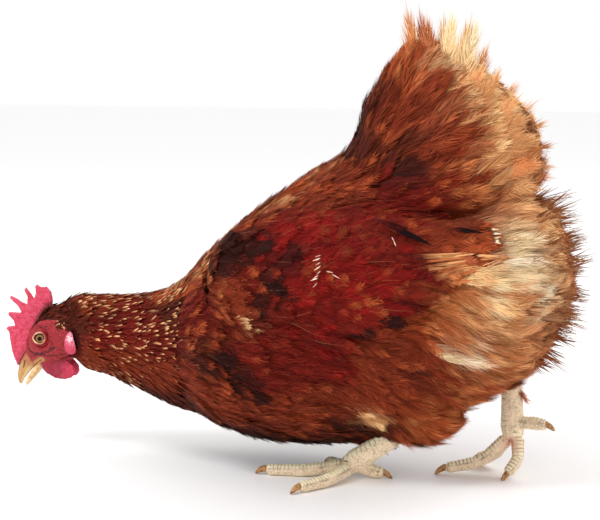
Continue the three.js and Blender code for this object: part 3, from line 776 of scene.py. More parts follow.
def head_relief(marks):
    """How far each point of the head's skin stands out from the CAD solids, in millimetres."""
    face = 0.4 * np.maximum(marks.grain, 0) + 0.3 * marks.rings - 0.9 * marks.folds
    rise = marks.bare * (face - 0.35 * np.maximum(marks.wrinkles, 0))
    lumps = marks.comb * (0.35 * marks.grain + 0.3 * marks.coarse - 0.55)
    lumps += marks.wattle * (0.35 * marks.coarse + 0.12 * marks.grain - 0.35)
    rise += lumps
    rise += marks.lobe * (0.4 * marks.grain)
    rise -= marks.feathered * (0.4 + 2.6 * smooth_step(0, HEAD_FEATHERS_END, marks.behind))
    return rise


def head_colour(marks):
    """The colour of each point of the head's skin."""
    forward, up, coarse, grain, fine = marks.forward, marks.up, marks.coarse, marks.grain, marks.fine
    # painted shade: the folds, the troughs between the wrinkle rings and the sunken wrinkles are painted
    # darker
    crease_shade = np.clip(0.8 * marks.folds - 0.55 * marks.rings + 0.4 * marks.wrinkles, 0, 1)
    # the face is painted pinker where its raised grain stands out: painted highlight on the bumps, with
    # specks of finer noise besides
    face = mixed(
        FACE_RED * (1 + 0.25 * coarse)[:, None],
        COMB_PINK,
        0.2 * np.maximum(grain, 0) + 0.25 * np.maximum(fine, 0),
    )
    face = mixed(face, CREASE_RED, crease_shade * marks.bare)
    face = mixed(face, HORN, np.clip(1.2 * marks.gape - marks.folds, 0, 0.9) * marks.bare)

    comb = mixed(COMB_RED, COMB_PINK, 0.35 + 0.5 * grain + 0.4 * coarse)
    comb = mixed(comb, CREASE_RED, 0.35 * smooth_step(14, 6, up) + 0.2 * np.maximum(-fine, 0))

    wattle = mixed(COMB_RED, COMB_PINK, 0.15 + 0.4 * coarse + 0.2 * grain)
    wattle = mixed(wattle, CREASE_RED, 0.55 * smooth_step(-33, -20, up + 0.4 * forward))

    white = bump_at(np.hypot(forward - LOBE_WHITE[0], up - LOBE_WHITE[1]), LOBE_WHITE_REACH)
    edge = smooth_step(3, 7, np.hypot(forward + 18, (up + 25) * 0.6))
    lobe = mixed(COMB_PINK * 0.85, LOBE_PINK, white * (0.5 + 2 * grain + 1.8 * fine))
    lobe = mixed(lobe, COMB_RED, 0.6 * edge)

    colour = mixed(face, comb, marks.comb)
    colour = mixed(colour, wattle, marks.wattle)
    colour = mixed(colour, lobe, marks.lobe)
    # the skin under the head's feathers is painted dark umber: painted shade under them
    return mixed(colour, UMBER * 0.4, marks.feathered)


def head_skin():
    """The bare face, the comb, the wattles and the earlobes, and the skin under the head's feathers."""
    mesh = unite(nodes_joined(HEAD_NODES, 0.2 * MM), HEAD_VOXEL)
    relax(mesh, 9, push=0.9)
    points, normals = points_of(mesh), normals_of(mesh)
    marks = head_marks(mesh)
    sunk = marks.feathered * sunk_behind_comb(points)
    out = np.abs(points[:, 0]) / MM
    around_eye = marks.bare * (out > 5) * smooth_step(10, 7, marks.from_lids)
    points = points + normals * (head_relief(marks) * MM - sunk)[:, None]
    # the lids follow the eyeball, and inside their opening the skin lies under it
    ball = eyeball_out(np.hypot(marks.forward, marks.up))
    lid = np.where(marks.from_lids < LID_OPENING, ball - 1.5, ball + LID_OVER_BALL + 0.3 * marks.rings)
    points[:, 0] += np.sign(points[:, 0]) * around_eye * (lid - out) * MM
    move_points(mesh, points)
    paint(mesh, head_colour(marks))
    return mesh


def mixed(colour, other, share):
    """Some of another colour in a colour."""
    share = np.clip(share, 0, 1)[:, None]
    return colour * (1 - share) + other * share


def tube_faces(rings, sections):
    """The faces of a closed tube whose points run ring after ring, in an array of rings and sections."""
    number = np.arange(rings * sections).reshape(rings, sections)
    ahead, beside = np.roll(number, -1, axis=0), np.roll(number, -1, axis=1)
    return np.stack([number, ahead, np.roll(ahead, -1, axis=1), beside], axis=-1)


LID_CORNER = math.radians(56)  # where the lids' opening is drawn out, round from the direction of the bill


def lid_rims():
    """The edges of the eyelids, where the bare skin meets the eyeball."""
    turns, sections, thickness = 56, 8, 0.58
    turn = np.arange(turns) / turns * 2 * math.pi
    corner = 1.2 * bump_at(turn - LID_CORNER, 0.4)
    radius = LID_OPENING + 0.4 + corner + 0.12 * np.sin(turn * 5)
    forward, up = LID_MIDDLE[0] + radius * np.cos(turn), LID_MIDDLE[1] + radius * np.sin(turn)
    out = eyeball_out(np.hypot(forward, up)) + LID_OVER_BALL
    centre = head_place(0, 0) + (forward[:, None] * BILLWARD + up[:, None] * CROWNWARD) * MM
    away = unit(centre - head_place(*LID_MIDDLE))
    section = np.arange(sections) / sections * 2 * math.pi
    breadth = thickness * MM * (1 + 0.3 * np.sin(turn * 3 + 1))[:, None, None]
    points, faces = [], []
    for sign in SIDES.values():
        outward = np.array([sign, 0, 0])
        ring = centre[:, None] + outward * (out * MM)[:, None, None]
        ring = ring + away[:, None] * np.cos(section)[None, :, None] * breadth
        ring = ring + outward * np.sin(section)[None, :, None] * breadth
        points.append(ring.reshape(-1, 3))
        faces.append(tube_faces(turns, sections).reshape(-1, 4)[:, ::-sign])
    uneven = 0.12 * np.sin(turn * 3) + 0.1 * np.sin(turn * 7 + 1)
    pale = np.repeat(0.55 + 0.25 * np.cos(turn - LID_CORNER) + uneven, sections)
    mesh = make_mesh("lid_rims", np.concatenate(points), renumbered(points, faces))
    paint(mesh, np.tile(mixed(FACE_RED, LID_PALE, pale), (2, 1)))
    return mesh


PUPIL_RADIUS, IRIS_RADIUS = 1.75, 3.4
GAZE = (-0.09, -0.14)  # forward and up, for each unit outwards


def eyeball(side):
    """A ball whose rings are finest round the pupil."""
    rings, turns = 44, 48
    slant = np.linspace(0, 1, rings) ** 1.3 * math.radians(150)
    turn = np.arange(turns) / turns * 2 * math.pi
    axis = unit(np.array([SIDES[side], 0, 0]) + BILLWARD * GAZE[0] + CROWNWARD * GAZE[1])
    first = unit(np.cross(axis, [0, 0, 1]))
    second = np.cross(axis, first)
    around = np.cos(turn)[:, None] * first + np.sin(turn)[:, None] * second
    points = np.cos(slant)[:, None, None] * axis + np.sin(slant)[:, None, None] * around
    apart = np.repeat(np.sin(slant) * EYE_RADIUS / MM, turns)
    streak = np.tile(np.sin(turn * 17) + np.sin(turn * 29 + 1), rings) * 0.07
    colour = mixed(IRIS_OLIVE, IRIS_PALE, 0.5 * bump_at(apart - 2.6, 0.5) + streak)
    colour = mixed(colour, PUPIL, smooth_step(PUPIL_RADIUS + 0.25, PUPIL_RADIUS, apart))
    colour = mixed(colour, PUPIL, 0.9 * smooth_step(IRIS_RADIUS - 0.3, IRIS_RADIUS + 0.2, apart))
    colour = mixed(colour, FACE_RED, smooth_step(LID_OPENING + 0.6, LID_OPENING + 1.2, apart))
    centre = middle_of(f"eye_{side}")
    faces = tube_faces(rings, turns)[:-1].reshape(-1, 4)
    mesh = make_mesh(f"eyeball_{side}", centre + points.reshape(-1, 3) * EYE_RADIUS, faces)
    paint(mesh, colour)
    show(f"eyeball_{side}", mesh, [eye_material], "eye", f"eye_{side}")


def bill(name):
    """One half of the bill, with its nostrils in the upper half."""
    mesh = unite(nodes_joined([name], 0.12 * MM), 0.4 * MM)
    relax(mesh, 8)
    points, normals = points_of(mesh), normals_of(mesh)
    forward, up = head_axes(points)
    grain, streaks = noise_at(points, 1.2 * MM), noise_at(points * [1, 0.4, 0.4], 1.5 * MM, 4)
    side = smooth_step(1.5, 3, np.abs(points[:, 0]) / MM)
    if name == "bill_upper":
        slit = near_line(forward, up, NOSTRIL, 0.9) * side
        ridge = smooth_step(0.35, 0.95, normals @ CROWNWARD)
        edge = smooth_step(0.2, 0.8, -(normals @ CROWNWARD))
        dark = 0.75 * ridge + 0.8 * np.maximum(streaks, 0)
        colour = mixed(HORN * (1 + 0.15 * streaks)[:, None], HORN_DARK, dark)
        colour = mixed(colour, HORN_PALE, 0.8 * edge)
        colour = mixed(colour, FACE_RED, 0.5 * smooth_step(33, 26, forward))
        # the nostril's slit is painted near black: painted shade in its opening
        colour = mixed(colour, PUPIL, slit ** 2)
        points = points - normals * (slit * NOSTRIL_DEPTH)[:, None]
    else:
        colour = mixed(HORN_PALE * (1 + 0.12 * streaks)[:, None], HORN, 0.5 + streaks)
        colour = mixed(colour, FACE_RED, 0.5 * smooth_step(26, 18, forward))
    move_points(mesh, points + normals * (grain * 0.08 * MM)[:, None])
    paint(mesh, colour)
    show(f"horn_{name}", mesh, [horn_material], "horn", name)


# The lines along the middle of each shank, down from the hock, and of each toe, out from the foot, in
# millimetres.
FOOT_LINES = {
    "left": {
        "shank": [(35, 127, 58), (25, 59, 8)],
        "hallux": [(25, 69, 10), (21, 81, 5.4), (20, 89, 4.5)],
        "inner": [(21, 64, 10), (9, 51, 5.5), (-5, 38, 4.5)],
        "middle": [(25, 62, 10), (30, 27, 5), (34, -6, 4.5)],
        "outer": [(30, 65, 10), (54, 52, 5.4), (79, 34, 4.5)],
    },
    "right": {
        "shank": [(-27, 181, 110), (-22, 186, 27)],
        "hallux": [(-21, 189, 42), (-15, 204, 43), (-12, 213, 43)],
        "inner": [(-21, 189, 32), (-12, 191, 14), (-2, 184, 4.5)],
        "middle": [(-20, 183, 31), (-14, 161, 10), (-5, 132, 4.5)],
        "outer": [(-25, 184, 31), (-32, 169, 12), (-43, 153, 4.5)],
    },
}
SHIN = np.array([0, -1, 0.3])  # which way the broad scales of the shank face
WEB_PLACE = np.array([-17, 186, 24]) * MM  # the sore skin between the raised foot's toes
WEB_REACH = 7 * MM
TOE_SCUTE = 3.0  # length of a broad scale on the toes
SHIN_SCUTE = 4.4
SMALL_SCALE = 1.7 * MM


def foot_skin(side):
    """The shank and toes: broad overlapping scales in front and on top, and small ones elsewhere."""
    mesh = unite(nodes_joined(FOOT_NODES[side], 0.35 * MM), FOOT_VOXEL)
    relax(mesh, 10, push=0.85)
    points, normals = points_of(mesh), normals_of(mesh)
    lines = FOOT_LINES[side]
    found = [line_place(points, np.array(line) * MM) for line in lines.values()]
    chosen = np.argmin([part[0] for part in found], axis=0)
    each = np.arange(len(points))
    place = np.array([part[1] for part in found])[chosen, each] / MM
    heading = np.array([part[2] for part in found])[chosen, each]
    shank = chosen == list(lines).index("shank")
    upward = np.where(shank[:, None], SHIN, [0, 0, 1])
    upward = unit(upward - heading * (upward * heading).sum(axis=1, keepdims=True))
    top = (normals * upward).sum(axis=1)
    wobble = noise_at(points, 5 * MM) * 0.25
    row = place / np.where(shank, SHIN_SCUTE, TOE_SCUTE) + wobble
    part = row % 1
    broad = smooth_step(0.3, 0.5, top)
    seam = smooth_step(0.86, 0.96, part) + smooth_step(0.12, 0.04, part)
    cells = [noise.voronoi(Vector(point) / SMALL_SCALE)[0] for point in points.tolist()]
    gap = np.array([cell[1] - cell[0] for cell in cells])
    small_seam = smooth_step(0.22, 0.05, gap)
    side_seam = bump_at(top - 0.4, 0.07)
    rise = broad * (0.5 * part - 0.25 * seam) + (1 - broad) * (0.3 * smooth_step(0.05, 0.4, gap) - 0.1)
    move_points(mesh, points + normals * (rise * MM)[:, None])

    tone = noise_at(points, 4 * MM, 6)
    pale = mixed(SCALE * (1 + 0.12 * tone)[:, None], SCALE_PINK, 0.5 * (1 - broad) + 0.4 * tone)
    dark = np.clip(broad * 0.85 * seam + (1 - broad) * 0.5 * small_seam + 0.35 * side_seam, 0, 1)
    dark *= np.clip(0.75 + noise_at(points, 6 * MM, 2), 0.35, 1)
    colour = mixed(pale, SCALE_SEAM, dark)
    web = bump_at(np.linalg.norm(points - WEB_PLACE, axis=1), WEB_REACH)
    colour = mixed(colour, WEB_RED, 0.6 * web * (side == "right"))
    paint(mesh, colour)
    return mesh


def claws():
    """The claw at the end of each toe, of streaked horn."""
    for side in SIDES:
        for toe in TOES:
            name = f"claw_{toe}_{side}"
            mesh = unite(nodes_joined([name], 0.4 * MM), 0.4 * MM)
            relax(mesh, 4)
            points = points_of(mesh)
            streaks = noise_at(points, 1.5 * MM, 8)
            colour = mixed(HORN * (1 + 0.2 * streaks)[:, None], HORN_DARK, 0.45 + streaks)
            paint(mesh, colour)
            show(f"horn_{name}", mesh, [horn_material], "horn", name)


# ---------------------------------------------------------------- materials


def material(name, roughness, specular):
    """A material that takes its colour from the mesh."""
    made = bpy.data.materials.new(name)
    made.use_nodes = True
    shader = made.node_tree.nodes["Principled BSDF"]
    colour = made.node_tree.nodes.new("ShaderNodeVertexColor")
    colour.layer_name = "Colour"
    made.node_tree.links.new(colour.outputs["Color"], shader.inputs["Base Color"])
    shader.inputs["Roughness"].default_value = roughness
    shader.inputs["Specular IOR Level"].default_value = specular
    return made


def add_bump(made, scale, distance, strength, kind="NOISE"):
    """Fine relief in the object's own space."""
    tree = made.node_tree
    where = tree.nodes.new("ShaderNodeTexCoord")
    if kind == "CELLS":
        texture = tree.nodes.new("ShaderNodeTexVoronoi")
        height = texture.outputs["Distance"]
    else:
        texture = tree.nodes.new("ShaderNodeTexNoise")
        texture.inputs["Detail"].default_value = 4
        height = texture.outputs["Fac"]
    texture.inputs["Scale"].default_value = scale
    bump = tree.nodes.new("ShaderNodeBump")
    bump.inputs["Distance"].default_value = distance
    bump.inputs["Strength"].default_value = strength
    tree.links.new(where.outputs["Object"], texture.inputs["Vector"])
    tree.links.new(height, bump.inputs["Height"])
    tree.links.new(bump.outputs["Normal"], tree.nodes["Principled BSDF"].inputs["Normal"])
    return made


feather_material = material("feathers", 0.6, 0.07)
covered_skin_material = material("skin_under_feathers", 0.9, 0.1)
red_skin_material = add_bump(material("red_skin", 0.5, 0.3), 900, 0.4 * MM, 0.6)
scale_material = add_bump(material("scaled_skin", 0.55, 0.3), 620, 0.4 * MM, 0.6, "CELLS")
horn_material = add_bump(material("horn", 0.35, 0.4), 700, 0.15 * MM, 0.3)
eye_material = material("eyeball", 0.06, 0.1)

# ---------------------------------------------------------------- feathers

PATH_STEPS = 5  # stretches in a feather's shaft
OUTERMOST = 1.5 * MM  # how far above the skin a shaft looks for it, so that it finds the outermost layer


class Skin:
    """The surface that feathers grow on, with its unwrap."""

    def __init__(self, body, head):
        mesh, self.places = unwrapped(joined("surface", [body, head]))
        self.points = points_of(mesh)
        self.faces = triangles_of(mesh)
        self.tree = BVHTree.FromPolygons(self.points.tolist(), self.faces.tolist())
        self.normals = normals_of(mesh)
        self.of_body = np.arange(len(self.faces)) < len(triangles_of(body))
        self.near_head = np.linalg.norm(self.points[self.faces[:, 0]] - EYE, axis=1) < HEAD_REACH

    def scatter(self, count, rng, faces):
        """Random points on these faces: where they are, which way is out, and their places on the unwrap."""
        corners = self.points[self.faces]
        area = np.linalg.norm(np.cross(corners[:, 1] - corners[:, 0], corners[:, 2] - corners[:, 0]), axis=1)
        area = area * faces
        face = rng.choice(len(area), count, p=area / area.sum())
        a, b = rng.random((2, count))
        fold = a + b > 1
        a[fold], b[fold] = 1 - a[fold], 1 - b[fold]
        share = np.stack([1 - a - b, a, b], axis=1)[:, :, None]
        where = (corners[face] * share).sum(axis=1)
        outward = unit((self.normals[self.faces[face]] * share).sum(axis=1))
        return where, outward, (self.places[face] * share).sum(axis=1)

    def exposed(self, roots, outward):
        """Whether nothing else of the surface lies over these points of it."""
        above = roots + outward * 3 * MM
        return np.linalg.norm(self.nearest(above)[0] - above, axis=1) > 2.6 * MM

    def nearest(self, points):
        """The surface's nearest points to these, which way is out there, and their places on the unwrap."""
        found = [self.tree.find_nearest(point) for point in points.tolist()]
        where = np.array([hit[0] for hit in found])
        face = np.array([hit[2] for hit in found])
        corners = self.points[self.faces[face]]
        to_corner = 1 / (np.linalg.norm(corners - where[:, None], axis=2) + 0.3 * MM)
        share = (to_corner / to_corner.sum(axis=1, keepdims=True))[:, :, None]
        outward = unit((self.normals[self.faces[face]] * share).sum(axis=1))
        return where, outward, (self.places[face] * share).sum(axis=1)


def thinned(points, apart):
    """Which of these points to keep so that none is closer to another than its own distance apart."""
    cell = float(np.max(apart))
    grid = {}
    kept = []
    for i, point in enumerate(points.tolist()):
        key = tuple(int(value // cell) for value in point)
        around = [
            other
            for dx in (-1, 0, 1)
            for dy in (-1, 0, 1)
            for dz in (-1, 0, 1)
            for other in grid.get((key[0] + dx, key[1] + dy, key[2] + dz), ())
        ]
        near = apart[i] ** 2
        if all(sum((a - b) ** 2 for a, b in zip(point, other)) >= near for other in around):
            grid.setdefault(key, []).append(point)
            kept.append(i)
    return np.array(kept)


def grow(skin, roots, outward, length, turn):
    """Each feather's shaft follows the lie of the plumage over the skin, turned a little to one side."""
    where, up = roots, outward
    path, ups = [where], [up]
    for _ in range(PATH_STEPS):
        ahead = lie_at(where)
        ahead = unit(ahead - up * (ahead * up).sum(axis=1, keepdims=True))
        ahead = ahead * np.cos(turn)[:, None] + np.cross(up, ahead) * np.sin(turn)[:, None]
        step = (length / PATH_STEPS)[:, None]
        where, up_next, _ = skin.nearest(where + ahead * step + up * OUTERMOST)
        up = unit(up + up_next)
        path.append(where)
        ups.append(up)
    return np.stack(path, axis=1), np.stack(ups, axis=1)


def along(values, share):
    """The value at each share of the way along every feather's path."""
    steps = values.shape[1] - 1
    place = np.clip(share, 0, 1.3) * steps
    low = np.minimum(place.astype(int), steps - 1)
    part = place - low
    if values.ndim == 3:
        part = part[..., None]
    index = np.arange(len(values)).reshape(-1, *[1] * (share.ndim - 1))
    return values[index, low] * (1 - part) + values[index, low + 1] * part


@dataclass
class Kind:
    """The form of one kind of feather."""

    barbs: int  # on each side
    pointed: float = 0.0  # 0 for a round tip, 1 for a sharp one
    loose: float = 0.1  # how much the barbs stray
    bare: float = 0.2  # share of the shaft that has no barbs
    camber: float = 0.25  # how far the edges drop, as a share of the half width
    slant: float = 0.5  # how far forward the barbs reach
    fine: float = 1.0  # breadth of a barb, as a share of what fills the vane
    shaft: float = 0.0  # half width of the shaft, in millimetres
    streaky: float = 0.07  # how much the barbs differ in shade
    fleck: float = 1.0  # share of the width that the tip's colour takes up
    brush: float = 0.0  # how much farther the barbs of a soft feather reach, as a share of its length


def outline(kind, share):
    """The half width of a vane at a share of its length, as a share of its greatest half width."""
    share = np.clip(share, 0, 1)
    fullest = 0.62 - 0.2 * kind.pointed
    rise = (share / fullest) ** 0.6
    fall = np.clip((share - fullest) / (1 - fullest), 0, 1)
    rounded = np.sqrt(1 - fall ** 2)
    sharp = (1 - fall) ** 0.9
    return np.where(share < fullest, rise, rounded * (1 - kind.pointed) + sharp * kind.pointed)


WARMER_WHEN_DARK = np.array([0.8, 1.2, 1.7])  # powers of the shade, for red, green and blue: darker barbs are painted warmer, as feathers look in shade
BARB_STOPS = np.array([0, 0.55, 1])
BARB_BREADTH = np.array([1, 0.85, 0])  # a barb narrows to a point
BARB_FACES = np.array([[0, 1, 3], [0, 3, 2], [2, 3, 4]])
BARB_SIDES = np.array([1, -1]).reshape(1, 2, 1, 1, 1)  # left and right of the shaft
VANE_HEIGHT = 0.3 * MM  # of a feather's root over the skin
SHAFT_HEIGHT = 0.45 * MM
LEAST_HEIGHT = 0.1 * MM
BARBS_STRAY_UP = 0.35  # how far the loosest barbs stray up or down, as a share of the half width
VANES_LEAN = 0.08  # how far feathers are tilted to one side
FEATHERS_DIFFER = 0.08  # in shade, one from another
DARKEST_SHADE, LIGHTEST_SHADE = 0.3, 1.5  # of a barb
ROOT_SHADE = 0.75  # painted shade: the shade of a feather's root, where the feathers over it cover it, as a share of its tip's
TIP_SHARPNESS = 6  # how suddenly the tip's colour begins


def barb_places(kind, length, width, rng):
    """How far along their feather the points of barbs are, as shares of its length, and how far out."""
    shape = (len(length), 2, kind.barbs, 1)
    # each barb leaves the shaft at its base and ends farther along, at the edge of the vane
    base = kind.bare + (1 - kind.bare) * (np.arange(kind.barbs) + 0.5)[:, None] / kind.barbs
    reach = 1 + kind.loose * rng.uniform(-1.4, 0.8, shape)
    end = base + kind.slant * (1 - base) * reach + kind.loose * 0.06 * rng.normal(0, 1, shape)
    end_out = width * outline(kind, end) * np.clip(reach, 0.25, 1.4)
    end = end + kind.brush * rng.uniform(0.4, 1.1, shape)
    share = base + (end - base) * BARB_STOPS ** 1.4
    out = end_out * BARB_STOPS ** 0.8
    # its two edges lie on either side of that line, square to its heading
    ahead = (end - base) * (BARB_STOPS + 0.15) ** 0.4 * length
    sideways = end_out * (BARB_STOPS + 0.25) ** -0.2
    scale = np.sqrt(ahead ** 2 + sideways ** 2) + 1e-9
    half = (1 - kind.bare) * length / kind.barbs * 0.66 * kind.fine * BARB_BREADTH
    edge = np.array([-1, 1])
    share = share[..., None] + edge * (half * sideways / scale / length)[..., None]
    return share, out[..., None] - edge * (half * ahead / scale)[..., None]


def barb_heights(kind, share, out, width, lift, rng):
    """How far above the shaft's path the points of barbs are. A vane drops towards its edges and lifts
    towards its tip."""
    drop = kind.camber * width * (out / width) ** 2
    height = VANE_HEIGHT + lift * np.clip(share, 0, 1.2) ** 1.15 - drop
    stray = rng.normal(0, BARBS_STRAY_UP, (*share.shape[:3], 1))
    height = height + kind.loose * stray[..., None] * width * BARB_STOPS[:, None]
    height = height + rng.normal(0, VANES_LEAN, (len(share), 1, 1, 1, 1)) * out * BARB_SIDES
    return np.maximum(height, LEAST_HEIGHT)


def barb_colours(kind, share, out_share, colours, rng):
    """The colours of the points of barbs that are this far along and out. Each barb has its own shade."""
    colour, tip, tipped = (part.reshape(len(share), 1, 1, 1, 1, -1) for part in colours)
    fade = np.clip((share[..., None] - 1 + tipped) * TIP_SHARPNESS, 0, 1)
    if kind.fleck < 1:
        fade = fade * np.clip(1.4 - np.abs(out_share)[..., None] / kind.fleck, 0, 1)
    feather_shade = rng.normal(0, FEATHERS_DIFFER, (len(share), 1, 1, 1, 1))
    barb_shade = rng.normal(0, kind.streaky, (*share.shape[:3], 1))[..., None]
    shade = np.clip(1 + feather_shade + barb_shade, DARKEST_SHADE, LIGHTEST_SHADE)
    # painted shade: each feather grows darker towards its root, which the feathers over it cover
    shade = (shade * (ROOT_SHADE + (1 - ROOT_SHADE) * np.clip(share, 0, 1)))[..., None]
    darker, lighter = np.minimum(shade, 1) ** WARMER_WHEN_DARK, np.maximum(shade, 1)
    painted = np.maximum((colour * (1 - fade) + tip * fade) * darker * lighter, DARKEST)
    return painted * np.minimum(1, FEATHERS_LIGHTEST / painted.max(axis=-1, keepdims=True))


def vanes(kind, path, ups, size, colours, places, rng):
    """Points, triangles, colours and OFBake places of feathers. size holds each feather's length, half width
    and the height of its tip. colours hold its colour, its tip's colour and the tip's share of its length."""
    length, width, lift = (part[:, None, None, None] for part in size)
    share, out = barb_places(kind, length, width, rng)
    width, lift = width[..., None], lift[..., None]
    height = barb_heights(kind, share, out, width, lift, rng)
    across = unit(np.cross(ups, np.gradient(path, axis=1)))
    spread = along(across, share) * (out * BARB_SIDES)[..., None]
    points = along(path, share) + spread + along(ups, share) * height[..., None]
    painted = barb_colours(kind, share, out / width, colours, rng)
    on_patch = np.stack([out * BARB_SIDES / width * 0.5, share - 0.5], axis=-1) * PATCH
    spots = places[:, None, None, None, None] + on_patch

    barbs = np.arange(len(path) * 2 * kind.barbs).reshape(len(path), 2, -1, 1, 1)
    faces = barbs * 5 + BARB_FACES
    faces[:, 0] = faces[:, 0, :, :, ::-1]
    return five_to_a_barb(points), faces.reshape(-1, 3), five_to_a_barb(painted), five_to_a_barb(spots)


def five_to_a_barb(values):
    """A row for each point of every barb. Its end is a single point, so one of its six is left out."""
    columns = values.shape[-1]
    return values.reshape(-1, 6, columns)[:, :5].reshape(-1, columns)


def shafts(kind, path, ups, size, colours, places, rng):
    """The same for the narrow ridge along the middle of each feather, and for hairs."""
    lift = size[2]
    breadth = kind.shaft * MM
    count, stops = path.shape[:2]
    share = np.linspace(0, 1, stops)
    half = breadth * (1 - 0.85 * share)[None, :, None]
    height = (SHAFT_HEIGHT + lift[:, None] * share ** 1.15 + breadth * 0.3)[..., None]
    ridge = path + ups * height
    across = unit(np.cross(ups, np.gradient(path, axis=1)))
    strip = np.stack([ridge + across * half, ridge - across * half], axis=2)
    first = np.arange(count)[:, None] * stops * 2 + np.arange(stops - 1) * 2
    left = np.stack([first, first + 3, first + 1], axis=-1)
    right = np.stack([first, first + 2, first + 3], axis=-1)
    faces = np.stack([left, right], axis=2).reshape(-1, 3)
    bright = np.where(rng.random(count) < 0.3, 0.35, 0.05)[:, None]
    colour = np.repeat(colours[0] * (1 - bright) + TAN * bright, stops * 2, axis=0)
    on_patch = np.stack([np.zeros(stops), share - 0.5], axis=-1)[None, :, None] * PATCH
    spots = np.broadcast_to(places[:, None, None] + on_patch, (count, stops, 2, 2)).reshape(-1, 2)
    return strip.reshape(-1, 3), faces, colour, spots


def coat_piece(name, slot, kind, *feathers):
    """Shows these feathers as one piece."""
    layers = []
    if kind.barbs:
        layers.append(vanes(kind, *feathers))
    if kind.shaft:
        layers.append(shafts(kind, *feathers))
    points, faces, painted, spots = zip(*layers)
    faces = renumbered(points, faces)
    mesh = make_mesh(name, np.concatenate(points), faces)
    paint(mesh, np.concatenate(painted), FEATHERS_LIGHTEST)
    set_uv(mesh, np.concatenate(spots))
    show(name, mesh, [feather_material], slot)
    print("coat", name, len(feathers[0]), "feathers", len(faces), "triangles")


def coat_halves(name, slot, kind, path, ups, size, colours, places, rng):
    """Shows these feathers as a left and a right piece."""
    for side, sign in SIDES.items():
        mine = path[:, 0, 0] * sign > 0
        size_here = [part[mine] for part in size]
        colours_here = [part[mine] for part in colours]
        feathers = (path[mine], ups[mine], size_here, colours_here, places[mine], rng)
        coat_piece(f"{name}_{side}", slot, kind, *feathers)


HACKLE = Kind(18, 0.7, 0.14, 0.1, 0.5, slant=0.5, fine=0.9, streaky=0.2, fleck=0.5, brush=0.08)
HEAD_FEATHER = Kind(8, 0.4, 0.2, 0.1, 0.3, slant=0.5, fine=0.9, streaky=0.2, brush=0.15)
CONTOUR = Kind(30, 0.35, 0.35, slant=0.6, fine=0.8, shaft=0.15, streaky=0.22, brush=0.15)
COVERT = Kind(34, 0.2, 0.26, slant=0.55, fine=0.85, shaft=0.18, streaky=0.2, brush=0.1)
TAIL_QUILL = Kind(150, 0.5, 0.4, 0.15, 0.1, slant=0.35, fine=0.7, shaft=0.4, streaky=0.2, brush=0.16)
WING_QUILL = Kind(90, 0.4, 0.25, 0.1, 0.2, slant=0.35, fine=0.8, shaft=0.3, streaky=0.28, brush=0.06)
DOWN = Kind(36, 0.5, 0.5, 0.1, 0.1, slant=0.6, fine=0.42, streaky=0.2, brush=0.3)
TAIL_COVERT = Kind(36, 0.4, 0.4, 0.2, 0.2, slant=0.5, fine=0.65, shaft=0.15, streaky=0.2, brush=0.2)
STRAND = Kind(0, shaft=0.6)
LAID = Kind(26, 0.9, 0.35, 0.02, 0.1, slant=0.45, fine=0.55, streaky=0.25, brush=0.12)

# Each part of the plumage: the CAD nodes it covers, its slot, the form of its feathers, and in millimetres
# their length, half width, how high their tips stand, and how far apart they grow.
TRACTS = {
    "neck": (["neck", "head"], "hackle", HACKLE, 18, 1.45, 1.8, 2.05),
    "body": (["trunk"], "plumage", CONTOUR, 34, 6.8, 2.8, 5.2),
    "wings": (["wing_left", "wing_right"], "plumage", COVERT, 32, 7.2, 2.6, 5),
    "thighs": (["thigh_left", "thigh_right"], "plumage", DOWN, 28, 6.5, 5, 4),
    "fluff": (["fluff"], "fluff", DOWN, 36, 7.5, 7, 4.2),
    "tail": (["tail"], "tail", TAIL_COVERT, 44, 7, 4, 4.6),
    "none": (["shank_left", "shank_right"], "", None, 0, 0, 0, 0),
}
PATCH = 0.003  # of a tuft on the OFBake map
SHOWN = 0.85  # the share of a feather's length at which its colour is taken
ROOTS_TRIED = 60000  # on the body and again on the head, before those too close together are left out
TIPPED = 0.24  # share of a small feather that its tip takes up


def colours_at(path):
    """Feather colour, tip colour and share of tipped feathers where each of these feathers shows."""
    return plumage_at(along(path, np.full((len(path), 1), SHOWN))[:, 0])


def tract_of(points):
    """Which part of the plumage each point belongs to, by the nearest CAD solid."""
    apart = [np.min([distance_to(node, points) for node in nodes], axis=0) for nodes, *_ in TRACTS.values()]
    return np.argmin(apart, axis=0)


def clear_of_comb(kept, path, ups, size):
    """Those of these feathers that neither touch the comb nor stand up from the head behind it."""
    stops = path.reshape(-1, 3)
    apart = distance_to("comb", stops).reshape(len(path), -1).min(axis=1)
    rise = outside_by(["head", "neck"], stops).reshape(len(path), -1).max(axis=1)
    far = np.linalg.norm(path[:, 0] - EYE, axis=1) > NEAR_COMB
    below = head_axes(path[:, 0])[1] < 0
    clear = (apart > COMB_GAP) & ((rise < HEAD_FEATHERS_RISE) | far | below)
    return kept[clear], path[clear], ups[clear], [part[clear] for part in size]


